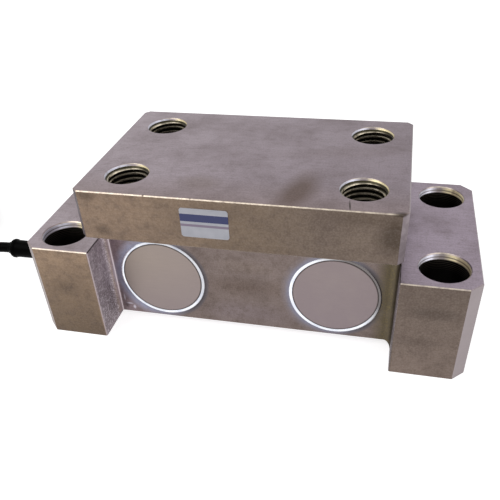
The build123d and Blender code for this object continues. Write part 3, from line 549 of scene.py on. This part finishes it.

# Corner faces of plate and feet, in tones for which way they face: painted light and shade
greatest = put(tree, "Math", {0: facing["X"], 1: facing["Y"]}, operation="MAXIMUM")
greatest = put(tree, "Math", {0: greatest, 1: facing["Z"]}, operation="MAXIMUM")
slanted = put(tree, "Math", {0: greatest, 1: 0.9}, operation="LESS_THAN")
upright = put(tree, "Math", {0: facing["Z"], 1: 0.3}, operation="LESS_THAN")
on_plate = put(tree, "Math", {0: spot["Z"], 1: PLATE_BOTTOM + 0.1}, operation="GREATER_THAN")
outer = put(tree, "Math", {0: folded["X"], 1: FOOT_CORNER_X}, operation="GREATER_THAN")
outer = put(tree, "Math", {0: outer, 1: on_plate}, operation="MAXIMUM")
corner = meet(tree, slanted, upright, outer)
worn = put(tree, "MapRange", {0: mottle, 1: 0.45, 2: 0.65, 4: 0.35})
colour = wash(tree, colour, "#958b8d", corner, 0.85)
colour = wash(tree, colour, "#8d8180", corner, put(tree, "MapRange", {0: spot["X"], 1: -100, 2: -110}))
colour = wash(tree, colour, "#81777b", corner, on_plate)
colour = wash(tree, colour, "#a49a9d", corner, on_plate, worn)

# The fine edge breaks carry a painted highlight, broken up, but not those hidden between plate and beam
under_plate = put(tree, "Math", {0: spot["Z"], 1: PLATE_BOTTOM}, operation="LESS_THAN")
deep = put(tree, "Math", {0: folded["Y"], 1: BEAM_FACE_Y + 5}, operation="LESS_THAN")
between_feet = put(tree, "Math", {0: folded["X"], 1: FOOT_INNER_X + 3.5}, operation="LESS_THAN")
plain = put(tree, "Math", {0: corner, 1: meet(tree, deep, under_plate, between_feet)}, operation="MAXIMUM")
edge = put(tree, "Math", {0: slanted, 1: plain}, operation="SUBTRACT", use_clamp=True)
highlight_breakup = put(tree, "TexNoise", {"Vector": here, "Scale": 1 / 5, "Detail": 4.0, "Roughness": 0.7})
highlight_breakup = put(tree, "MapRange", {0: highlight_breakup, 1: 0.36, 2: 0.58, 3: 0.3})
forward = put(tree, "MapRange", {0: facing["Y"], 1: 0.5, 2: 0.68})
level = put(tree, "MapRange", {0: facing["Z"], 1: 0.3, 2: 0.6})
standing = put(tree, "MapRange", {0: level, 3: 0.75, 4: 0.0})
on_left = put(tree, "MapRange", {0: spot["X"], 1: 10, 2: -10})
# Painted highlights: cream on the front edges, mauve-grey on the upright edges at left, greyer on the rest
colour = wash(tree, colour, "#d2c6b4", edge, highlight_breakup, forward, put(tree, "MapRange", {0: level, 4: 0.8}))
colour = wash(tree, colour, "#a99da0", edge, on_left, forward, standing)
colour = wash(tree, colour, "#9b9092", edge, highlight_breakup, put(tree, "MapRange", {0: forward, 3: 0.35, 4: 0.0}))
# Nicks in the plate's front edge, and the grime at its right end
colour = mark_or_shade(colour, "#4d423b", (-45.3, -55.2, 100), (0.7, 1.5, 0.8), 0.9)
colour = mark_or_shade(colour, "#5a4e46", (-20.5, -55.2, 100), (0.6, 1.5, 0.7), 0.8)
colour = mark_or_shade(colour, "#3d342e", (82.5, -55, 99.6), (5.5, 2.5, 1.3), 0.9)

# The bores: painted highlights at the mouth, ringed by the boring tool, and dark below with painted shade
foot_bore = put(tree, "Math", {
    0: from_axis((1, 1, 0), FOOT_BORE), 1: FOOT_BORE_RADIUS + 0.06,
}, operation="LESS_THAN")
plate_bore = put(tree, "Math", {
    0: from_axis((1, 1, 0), PLATE_HOLE), 1: PLATE_HOLE_RADIUS + 0.06,
}, operation="LESS_THAN")
plate_bore = meet(tree, plate_bore, outer)
foot_bore_shade = put(tree, "MapRange", {0: spot["Z"], 1: FOOT_TOP - 3.6, 2: FOOT_TOP - 4.4, 4: 0.97})
plate_bore_shade = put(tree, "MapRange", {0: spot["Z"], 1: PLATE_TOP - 2.8, 2: PLATE_TOP - 4.5, 4: 0.95})
ring_depth = put(tree, "MapRange", {0: spot["Z"], 1: FOOT_TOP - 11, 2: FOOT_TOP - 4})
boring_rings = put(tree, "TexWave", {"Vector": here, "Scale": ONE_WAVE / 1.1}, "Fac", bands_direction="Z")
boring_rings = put(tree, "MapRange", {0: boring_rings, 1: 0.6, 2: 0.95, 4: 0.6})
# Painted shade deep down in the bores
colour = wash(tree, colour, "#100c0a", foot_bore_shade, foot_bore)
colour = wash(tree, colour, "#8d847a", boring_rings, ring_depth, foot_bore)
colour = wash(tree, colour, "#1c1613", plate_bore_shade, plate_bore)
# Across each mouth a painted highlight goes from cool on the left over a dull middle to warm on the right
foot_mouth = put(tree, "MapRange", {0: spot["Z"], 1: FOOT_TOP - 4.1, 2: FOOT_TOP - 3.6})
foot_mouth = meet(tree, foot_mouth, foot_bore)
plate_mouth = put(tree, "MapRange", {0: spot["Z"], 1: PLATE_TOP - 3.0, 2: PLATE_TOP - 2.4})
plate_mouth = meet(tree, plate_mouth, plate_bore)
mouths = put(tree, "Math", {0: foot_mouth, 1: plate_mouth}, operation="MAXIMUM")
bore_x = put(tree, "MapRange", {0: folded["X"], 1: 84.4, 2: 84.6, 3: PLATE_HOLE[0], 4: FOOT_BORE[0]})
aside = right_of(bore_x)
groove = put(tree, "Math", {0: spot["Z"], 1: 2.3 - FOOT_TOP}, operation="ADD")
groove = put(tree, "Math", {0: groove}, operation="ABSOLUTE")
groove = put(tree, "MapRange", {0: groove, 1: 0.6, 2: 0.2, 4: 0.75})
colour = wash(tree, colour, "#8d8384", mouths)
colour = wash(tree, colour, "#bfbdc8", mouths, put(tree, "MapRange", {0: aside, 1: -2, 2: -6}))
colour = wash(tree, colour, "#cdc09c", mouths, put(tree, "MapRange", {0: aside, 1: 0, 2: 4}))
colour = wash(tree, colour, "#4a403c", mouths, groove)
colour = wash(tree, colour, "#6b605b", mouths, put(tree, "MapRange", {0: mottle, 1: 0.54, 2: 0.7, 4: 0.5}))
# The mouths are worn round, so their surface leans upward and mirrors the sky
leaning = put(tree, "CombineXYZ", {2: mouths})
leaning = put(tree, "VectorMath", {0: leaning, 1: [0, 0, 0.8]}, operation="MULTIPLY")
leaning = put(tree, "VectorMath", {0: leaning, 1: put(tree, "NewGeometry", out="Normal")}, operation="ADD")
leaning = put(tree, "VectorMath", {0: leaning}, operation="NORMALIZE")

roughness = put(tree, "MapRange", {0: clouds, 1: 0.3, 2: 0.7, 3: 0.38, 4: 0.5})
roughness = put(tree, "Math", {0: blasted, 1: 0.25, 2: roughness}, operation="MULTIPLY_ADD")
roughness = put(tree, "Math", {0: edge, 1: -0.1, 2: roughness}, operation="MULTIPLY_ADD")
milled = put(tree, "Bump", {"Height": lines, "Strength": 0.15, "Distance": 0.04 * MM, "Normal": leaning})
milled = put(tree, "Bump", {"Height": speckle, "Strength": 0.05, "Distance": 0.05 * MM, "Normal": milled})
pitted = meet(tree, mottle, blasted)
put(tree, "OutputMaterial", {"Surface": put(tree, "BsdfPrincipled", {
    "Base Color": colour,
    "Metallic": put(tree, "MapRange", {0: foot_bore, 3: 1.0, 4: 0.75}),
    "Roughness": roughness,
    "Normal": put(tree, "Bump", {"Height": pitted, "Strength": 0.35, "Distance": 0.3 * MM, "Normal": milled}),
})}, None)
dress(cell_steel, "body")

# Plate threads
# The four plate holes are tapped M24, three millimetre pitch. Each thread is a ridge that winds down
# the bore, cut off at the mouth by the lead-in cone and at the bottom by the edge of the plate.
THREAD_PITCH = 3.0
THREAD_ROOT, THREAD_CREST = PLATE_HOLE_RADIUS + 0.06, 10.4
ROOT_HALF_WIDTH, CREST_HALF_WIDTH = 1.31, 0.38
# The lead-in cone's radius at the mouth, how wide the trimmed tooth may get in the wall, and how far
# the ridge keeps from the plate's faces
LEAD_IN, WIDEST, MOUTH_GAP = 13.3, 12.5, 0.35
STEPS_PER_TURN = 64


def thread_ridge(x, y, name):
    """One hole's thread: a flat-topped tooth spun down the bore and trimmed to the plate."""
    tooth = [
        (THREAD_ROOT, ROOT_HALF_WIDTH), (THREAD_CREST, CREST_HALF_WIDTH),
        (THREAD_CREST, -CREST_HALF_WIDTH), (THREAD_ROOT, -ROOT_HALF_WIDTH),
    ]
    turns = (PLATE_TOP - PLATE_BOTTOM) / THREAD_PITCH + 1
    shape = bmesh.new()
    start_z = PLATE_TOP + THREAD_PITCH / 2
    corners = [shape.verts.new((radius, 0, start_z + rise)) for radius, rise in tooth]
    ring = [shape.edges.new((corners[i], corners[i - 1])) for i in range(4)]
    steps = round(turns * STEPS_PER_TURN)
    bmesh.ops.spin(
        shape, geom=corners + ring, cent=(0, 0, 0), axis=(0, 0, 1), angle=2 * math.pi * turns,
        dvec=(0, 0, -turns * THREAD_PITCH / steps), steps=steps, use_merge=False,
    )
    bmesh.ops.holes_fill(shape, edges=[e for e in shape.edges if e.is_boundary], sides=4)
    for vert in shape.verts:
        radius = math.hypot(vert.co.x, vert.co.y)
        lead_in = LEAD_IN - min(PLATE_TOP - vert.co.z, vert.co.z - PLATE_BOTTOM)
        if radius < lead_in:
            wide = min(lead_in, WIDEST) / radius
            vert.co.x *= wide
            vert.co.y *= wide
        vert.co.z = min(max(vert.co.z, PLATE_BOTTOM + MOUTH_GAP), PLATE_TOP - MOUTH_GAP)
    return finished(shape, name, shift=(x, y, 0))


# Cut steel under thin plating: painted highlights on the crests at the mouth, painted shade on the flanks and
# further down, with patches of cutting oil
cut_thread, tree = new_finish("tapped_steel_thread")
here = in_millimetres(tree)
spot = put(tree, "SeparateXYZ", {0: here}, None).outputs
from_bore = from_axis((1, 1, 0), PLATE_HOLE)
crest = put(tree, "MapRange", {0: from_bore, 1: THREAD_CREST + 0.8, 2: THREAD_CREST + 0.2})
lit = put(tree, "MapRange", {0: spot["Z"], 1: PLATE_TOP - 18, 2: PLATE_TOP - 3})
oiled = put(tree, "TexNoise", {"Vector": here, "Scale": 1 / 2.4, "Detail": 3.0})
flank_shade = wash(tree, tone("#0f0e0a"), "#3b372c", lit)
crest_highlight = wash(tree, tone("#4f463b"), "#cdc2ae", lit)
colour = wash(tree, flank_shade, crest_highlight, crest)
put(tree, "OutputMaterial", {"Surface": put(tree, "BsdfPrincipled", {
    "Base Color": wash(tree, colour, "#2c2a1c", put(tree, "MapRange", {0: oiled, 1: 0.42, 2: 0.66, 4: 0.65})),
    "Metallic": 1.0,
    "Roughness": put(tree, "MapRange", {0: oiled, 1: 0.3, 2: 0.7, 3: 0.26, 4: 0.4}),
    "Normal": put(tree, "Bump", {"Height": oiled, "Strength": 0.2, "Distance": 0.04 * MM}),
})}, None)
for row, hole_y in (("front", -PLATE_HOLE[1]), ("rear", PLATE_HOLE[1])):
    for side, hole_x in (("left", -PLATE_HOLE[0]), ("right", PLATE_HOLE[0])):
        ridge = thread_ridge(hole_x, hole_y, f"thread_{row}_{side}")
        ridge.data.materials.append(cut_thread)
        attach(ridge, "root")

# Pocket covers and their weld beads
# Each cover is a turned disc of stainless sheet with a faint rolled grain along the beam. It is held
# by a smooth laser-welded bead, blue-white on the left and darker towards the upper right.
POCKETS = ("front_left", "front_right", "rear_left", "rear_right")
rolled_sheet, tree = new_finish("rolled_stainless_sheet")
here = in_millimetres(tree)
spot = put(tree, "SeparateXYZ", {0: here}, None).outputs
# The rolled grain is drawn coarser than it is, as the finest lines that the picture can show
rolled = put(tree, "Mapping", {"Vector": here, "Scale": [1 / 9, 1 / 0.7, 1 / 0.7]})
rolled = put(tree, "TexNoise", {"Vector": rolled, "Scale": 1.0})
dulled = put(tree, "TexNoise", {"Vector": here, "Scale": 1 / 16, "Detail": 3.0})
colour = wash(tree, tone("#998d85"), "#897d7e", put(tree, "MapRange", {0: spot["X"], 1: -70, 2: 30}))
colour = wash(tree, colour, "#887c80", put(tree, "MapRange", {0: spot["Z"], 1: 45, 2: 15, 4: 0.5}))
colour = wash(tree, colour, "#7d7271", put(tree, "MapRange", {0: rolled, 1: 0.4, 2: 0.75, 4: 0.14}))
colour = wash(tree, colour, "#a09590", put(tree, "MapRange", {0: dulled, 1: 0.45, 2: 0.7, 4: 0.2}))
from_middle = from_axis((1, 0, 1), (POCKET_X, 0, POCKET_Z))
# A thin line of painted shade at the cover's edge, in the gap next to the bead
rim = put(tree, "MapRange", {0: from_middle, 1: COVER_RADIUS - 0.7, 2: COVER_RADIUS - 0.2, 4: 0.8})
colour = wash(tree, colour, "#3b3431", rim)
put(tree, "OutputMaterial", {"Surface": put(tree, "BsdfPrincipled", {
    "Base Color": colour,
    "Metallic": 1.0,
    "Roughness": put(tree, "MapRange", {0: dulled, 1: 0.3, 2: 0.7, 3: 0.36, 4: 0.46}),
    "Normal": put(tree, "Bump", {"Height": rolled, "Strength": 0.12, "Distance": 0.03 * MM}),
})}, None)

# Weld metal that set smooth: the eye sees a bright bead with faint ripples
weld_metal, tree = new_finish("laser_weld_bead")
here = in_millimetres(tree)
spot = put(tree, "SeparateXYZ", {0: here}, None).outputs
ripple = put(tree, "TexNoise", {"Vector": here, "Scale": 1 / 1.3})
sheen = put(tree, "TexNoise", {"Vector": here, "Scale": 1 / 9, "Detail": 3.0})
above = put(tree, "Math", {0: spot["Z"], 1: POCKET_Z}, operation="SUBTRACT")
upper_right = put(tree, "Math", {0: above, 1: 0.7, 2: right_of(POCKET_X)}, operation="MULTIPLY_ADD")
toward_upper_right = put(tree, "MapRange", {0: upper_right, 1: 4, 2: 22})
how_much = put(tree, "MapRange", {0: spot["X"], 1: -20, 2: 20, 3: 0.35, 4: 0.95})
colour = wash(tree, tone("#f4f6fd"), "#ccd3e6", put(tree, "MapRange", {0: sheen, 1: 0.45, 2: 0.7, 4: 0.7}))
# Darker towards the upper right of each bead, more so on the right cover
colour = wash(tree, colour, "#6a6462", toward_upper_right, how_much)
put(tree, "OutputMaterial", {"Surface": put(tree, "BsdfPrincipled", {
    "Base Color": colour,
    "Metallic": 1.0,
    "Roughness": put(tree, "MapRange", {0: ripple, 1: 0.3, 2: 0.7, 3: 0.25, 4: 0.38}),
    "Normal": put(tree, "Bump", {"Height": ripple, "Strength": 0.2, "Distance": 0.05 * MM}),
})}, None)
for pocket in POCKETS:
    dress(rolled_sheet, "cover_" + pocket)
    dress(weld_metal, "weld_bead_" + pocket)

# Gauges inside the pockets
# On each side of each web sits a shear rosette of etched foil on an amber film, bonded down and sealed
# under milky silicone, with a terminal strip below it.

# How far from the body's middle plane the film and the strip end and their metal begins
FILM_FACE_Y, STRIP_FACE_Y = 7.35, 7.82

# Polyimide film with constantan foil: amber, with fine grey-gold lines where the foil stands up
gauge_film, tree = new_finish("polyimide_film_and_foil")
here = in_millimetres(tree)
spot = put(tree, "SeparateXYZ", {0: put(tree, "VectorMath", {0: here}, operation="ABSOLUTE")}, None).outputs
foil = put(tree, "Math", {0: spot["Y"], 1: FILM_FACE_Y}, operation="GREATER_THAN")
# Etched loops are some hundredths wide, drawn at a third of a millimetre
loops = put(tree, "TexWave", {"Vector": here, "Scale": ONE_WAVE / 0.33}, "Fac", bands_direction="DIAGONAL")
amber = put(tree, "TexNoise", {"Vector": here, "Scale": 1 / 3, "Detail": 2.0})
colour = wash(tree, tone("#a8692a"), "#c58a45", put(tree, "MapRange", {0: amber, 1: 0.35, 2: 0.7}))
colour = wash(tree, colour, "#b9b08c", foil, put(tree, "MapRange", {0: loops, 1: 0.3, 2: 0.5, 3: 0.35}))
put(tree, "OutputMaterial", {"Surface": put(tree, "BsdfPrincipled", {
    "Base Color": colour,
    "Metallic": foil,
    "Roughness": put(tree, "MapRange", {0: amber, 1: 0.3, 2: 0.7, 3: 0.28, 4: 0.38}),
    "Normal": put(tree, "Bump", {"Height": loops, "Strength": 0.2, "Distance": 0.02 * MM}),
})}, None)

# Glass-fibre laminate with tinned pads: green-brown weave under varnish, pads of grey solder
strip_laminate, tree = new_finish("tinned_glass_fibre_strip")
here = in_millimetres(tree)
spot = put(tree, "SeparateXYZ", {0: put(tree, "VectorMath", {0: here}, operation="ABSOLUTE")}, None).outputs
pad = put(tree, "Math", {0: spot["Y"], 1: STRIP_FACE_Y}, operation="GREATER_THAN")
cloth = put(tree, "TexWave", {"Vector": here, "Scale": ONE_WAVE / 0.6, "Distortion": 1.0}, "Fac")
colour = wash(tree, tone("#6d6a3c"), "#8b8650", put(tree, "MapRange", {0: cloth, 1: 0.3, 2: 0.8}))
put(tree, "OutputMaterial", {"Surface": put(tree, "BsdfPrincipled", {
    "Base Color": wash(tree, colour, "#c2beb4", pad),
    "Metallic": pad,
    "Roughness": put(tree, "MapRange", {0: cloth, 3: 0.3, 4: 0.42}),
    "Normal": put(tree, "Bump", {"Height": cloth, "Strength": 0.1, "Distance": 0.03 * MM}),
})}, None)

# Silicone sealant: milky and half clear, with a smooth wet skin
sealant, tree = new_finish("milky_silicone_sealant")
here = in_millimetres(tree)
curdled = put(tree, "TexNoise", {"Vector": here, "Scale": 1 / 2.5, "Detail": 3.0})
put(tree, "OutputMaterial", {"Surface": put(tree, "BsdfPrincipled", {
    "Base Color": wash(tree, tone("#dcdad0"), "#c4c1b4", put(tree, "MapRange", {0: curdled, 1: 0.4, 2: 0.7})),
    "Roughness": put(tree, "MapRange", {0: curdled, 1: 0.3, 2: 0.7, 3: 0.2, 4: 0.34}),
    "IOR": 1.41,
    "Transmission Weight": 0.35,
    "Normal": put(tree, "Bump", {"Height": curdled, "Strength": 0.2, "Distance": 0.1 * MM}),
})}, None)
for pocket in POCKETS:
    dress(gauge_film, "strain_gauge_" + pocket)
    dress(strip_laminate, "terminal_strip_" + pocket)
    dress(sealant, "gauge_coating_" + pocket)

# Compensation board and inner wiring
# A round glass-fibre board in the front left pocket carries the bridge's trimming resistors. The
# cable's four cores and the four lead bundles of the gauges are soldered to its pads.

# Green solder mask on glass fibre: deep green, glossy, with the cloth showing through
board_laminate, tree = new_finish("green_glass_fibre_board")
here = in_millimetres(tree)
cloth = put(tree, "TexChecker", {"Vector": here, "Scale": 1 / 0.9}, "Fac")
depth = put(tree, "TexNoise", {"Vector": here, "Scale": 1 / 5, "Detail": 3.0})
colour = wash(tree, tone("#1e5a38"), "#2b6d46", put(tree, "MapRange", {0: depth, 1: 0.35, 2: 0.7}))
put(tree, "OutputMaterial", {"Surface": put(tree, "BsdfPrincipled", {
    "Base Color": wash(tree, colour, "#3a7a52", cloth, 0.25),
    "Roughness": put(tree, "MapRange", {0: depth, 1: 0.3, 2: 0.7, 3: 0.22, 4: 0.32}),
    "IOR": 1.55,
    "Normal": put(tree, "Bump", {"Height": cloth, "Strength": 0.06, "Distance": 0.03 * MM}),
})}, None)
dress(board_laminate, "compensation_board")

# Tin solder: bright grey and lumpy
solder_metal, tree = new_finish("tin_solder")
here = in_millimetres(tree)
lumps = put(tree, "TexNoise", {"Vector": here, "Scale": 1 / 0.9, "Detail": 2.0})
put(tree, "OutputMaterial", {"Surface": put(tree, "BsdfPrincipled", {
    "Base Color": wash(tree, tone("#cfcdc8"), "#a5a29a", put(tree, "MapRange", {0: lumps, 1: 0.4, 2: 0.7})),
    "Metallic": 1.0,
    "Roughness": put(tree, "MapRange", {0: lumps, 1: 0.3, 2: 0.7, 3: 0.2, 4: 0.36}),
    "Normal": put(tree, "Bump", {"Height": lumps, "Strength": 0.5, "Distance": 0.15 * MM}),
})}, None)
dress(solder_metal, "board_solder_pads")

# Chip resistors: black glaze between tinned ends, one every six millimetres
RESISTOR_PITCH, RESISTOR_BODY = 6.0, 1.1
chip_glaze, tree = new_finish("glazed_chip_resistor")
here = in_millimetres(tree)
spot = put(tree, "SeparateXYZ", {0: here}, None).outputs
along = put(tree, "Math", {0: spot["X"], 1: POCKET_X + 5 * RESISTOR_PITCH}, operation="ADD")
along = put(tree, "Math", {0: along, 1: RESISTOR_PITCH / 2}, operation="PINGPONG")
tinned = put(tree, "Math", {0: along, 1: RESISTOR_BODY}, operation="GREATER_THAN")
glaze = put(tree, "TexNoise", {"Vector": here, "Scale": 1 / 0.8, "Detail": 2.0})
colour = wash(tree, tone("#141416"), "#2a2a2c", put(tree, "MapRange", {0: glaze, 1: 0.4, 2: 0.7}))
put(tree, "OutputMaterial", {"Surface": put(tree, "BsdfPrincipled", {
    "Base Color": wash(tree, colour, "#c6c3bb", tinned),
    "Metallic": tinned,
    "Roughness": put(tree, "MapRange", {0: glaze, 1: 0.3, 2: 0.7, 3: 0.25, 4: 0.36}),
    "IOR": 1.6,
})}, None)
dress(chip_glaze, "board_resistors")

# Lead bundles in thin grey PVC, satin
lead_pvc, tree = new_finish("grey_pvc_lead")
here = in_millimetres(tree)
scuffed = put(tree, "TexNoise", {"Vector": here, "Scale": 1 / 2, "Detail": 3.0})
put(tree, "OutputMaterial", {"Surface": put(tree, "BsdfPrincipled", {
    "Base Color": wash(tree, tone("#8f9196"), "#77797e", put(tree, "MapRange", {0: scuffed, 1: 0.4, 2: 0.7})),
    "Roughness": put(tree, "MapRange", {0: scuffed, 1: 0.3, 2: 0.7, 3: 0.36, 4: 0.5}),
    "IOR": 1.5,
    "Normal": put(tree, "Bump", {"Height": scuffed, "Strength": 0.1, "Distance": 0.05 * MM}),
})}, None)
dress(lead_pvc, "lead_front_left", "lead_front_right", "lead_rear_left", "lead_rear_right")

# The cable's four cores at the board: the same four colours as outside, one to each height
inner_cores, tree = new_finish("coloured_core_pvc")
here = in_millimetres(tree)
spot = put(tree, "SeparateXYZ", {0: here}, None).outputs
dusted = put(tree, "TexNoise", {"Vector": here, "Scale": 1 / 2, "Detail": 3.0})
colour = tone("#a81f1c")
for height, code in ((28.6, "#141416"), (30.2, "#1f6b35"), (31.8, "#d9d8d2")):
    colour = wash(tree, colour, code, put(tree, "Math", {0: spot["Z"], 1: height}, operation="GREATER_THAN"))
put(tree, "OutputMaterial", {"Surface": put(tree, "BsdfPrincipled", {
    "Base Color": wash(tree, colour, "#8f8d88", put(tree, "MapRange", {0: dusted, 1: 0.5, 2: 0.8, 4: 0.25})),
    "Roughness": put(tree, "MapRange", {0: dusted, 1: 0.3, 2: 0.7, 3: 0.26, 4: 0.42}),
    "IOR": 1.5,
})}, None)
dress(inner_cores, "cable_cores_inner")

# Potting resin in the cable's bore: amber-black epoxy with small bubbles
potting_resin, tree = new_finish("epoxy_potting_resin")
here = in_millimetres(tree)
bubbles = put(tree, "TexVoronoi", {"Vector": here, "Scale": 1 / 1.5}, "Distance")
put(tree, "OutputMaterial", {"Surface": put(tree, "BsdfPrincipled", {
    "Base Color": wash(tree, tone("#2b2019"), "#4a382a", put(tree, "MapRange", {0: bubbles, 1: 0.3, 2: 0.6})),
    "Roughness": put(tree, "MapRange", {0: bubbles, 3: 0.18, 4: 0.3}),
    "IOR": 1.55,
    "Normal": put(tree, "Bump", {"Height": bubbles, "Strength": 0.2, "Distance": 0.1 * MM}),
})}, None)
dress(potting_resin, "entry_potting")

# Sticker
# A small polyester sticker, pressed on the front of the plate. Its generic design is a navy band and a
# thin mauve band on pale grey, under a satin film that is a little creased.
sticker_film, tree = new_finish("printed_polyester_film")
here = in_millimetres(tree)
spot = put(tree, "SeparateXYZ", {0: here}, None).outputs
creased = put(tree, "TexNoise", {"Vector": here, "Scale": 1 / 6, "Detail": 3.0})
printed = wash(tree, tone("#c3c3cc"), "#adafb9", put(tree, "MapRange", {0: creased, 1: 0.35, 2: 0.7, 4: 0.6}))
for lowest, highest, code in ((87.2, 91.5, "#2b3266"), (84.3, 85.7, "#8d7f93")):
    above = put(tree, "Math", {0: spot["Z"], 1: lowest}, operation="GREATER_THAN")
    below = put(tree, "Math", {0: spot["Z"], 1: highest}, operation="LESS_THAN")
    printed = wash(tree, printed, code, above, below)
put(tree, "OutputMaterial", {"Surface": put(tree, "BsdfPrincipled", {
    "Base Color": printed,
    "Roughness": put(tree, "MapRange", {0: creased, 1: 0.3, 2: 0.7, 3: 0.3, 4: 0.4}),
    "IOR": 1.5,
    "Normal": put(tree, "Bump", {"Height": creased, "Strength": 0.08, "Distance": 0.1 * MM}),
})}, None)
dress(sticker_film, "label")

# Floor, background and light
# A white sweep under soft studio light. Rays from the camera and from glossy surfaces see the sweep
# lifted to white, and the object's shadow stays on it.
FLOOR_SIZE, FLOOR_Z = 4.0, -0.0004
# How far the sweep is lifted for the rays that see it, and the sky's strength for the rest
SWEEP_LIFT, SKY_LIGHT = 0.74, 0.45
floor_mesh = bpy.data.meshes.new("studio_floor")
shape = bmesh.new()
lowered = Matrix.Translation((0, 0, FLOOR_Z))
bmesh.ops.create_grid(shape, x_segments=1, y_segments=1, size=FLOOR_SIZE, matrix=lowered)
shape.to_mesh(floor_mesh)
shape.free()
floor = bpy.data.objects.new("studio_floor", floor_mesh)
bpy.context.scene.collection.objects.link(floor)


def seen_ray(tree):
    """1 for rays from the camera and from glossy or clear surfaces, otherwise 0."""
    path = put(tree, "LightPath", None, None).outputs
    most = put(tree, "Math", {0: path["Is Camera Ray"], 1: path["Is Glossy Ray"]}, operation="MAXIMUM")
    return put(tree, "Math", {0: most, 1: path["Is Transmission Ray"]}, operation="MAXIMUM")


sweep_paint, tree = new_finish("white_studio_sweep")
matte = put(tree, "BsdfDiffuse", {"Color": tone("#dcdcdc")})
lift = put(tree, "Emission", {"Strength": put(tree, "MapRange", {0: seen_ray(tree), 4: SWEEP_LIFT})})
put(tree, "OutputMaterial", {"Surface": put(tree, "AddShader", {0: matte, 1: lift})}, None)
floor_mesh.materials.append(sweep_paint)

world = bpy.data.worlds.new("white_studio")
bpy.context.scene.world = world
world.use_nodes = True
tree = world.node_tree
tree.nodes.clear()
sky_level = put(tree, "MapRange", {0: seen_ray(tree), 3: SKY_LIGHT, 4: 1.0})
sky = put(tree, "Background", {"Color": tone("#ffffff"), "Strength": sky_level})
put(tree, "OutputWorld", {"Surface": sky}, None)

for name, place, size, power in (
    ("softbox_left", (-0.9, -0.7, 1.3), 1.2, 9.0),
    ("softbox_right", (1.1, -0.5, 0.9), 1.0, 4.0),
):
    lamp = bpy.data.lights.new(name, "AREA")
    lamp.size = size
    lamp.energy = power
    holder = bpy.data.objects.new(name, lamp)
    holder.location = place
    holder.rotation_euler = (Vector((0, 0, 0.04)) - Vector(place)).to_track_quat("-Z", "Y").to_euler()
    bpy.context.scene.collection.objects.link(holder)

bpy.context.scene.view_settings.view_transform = "Standard"
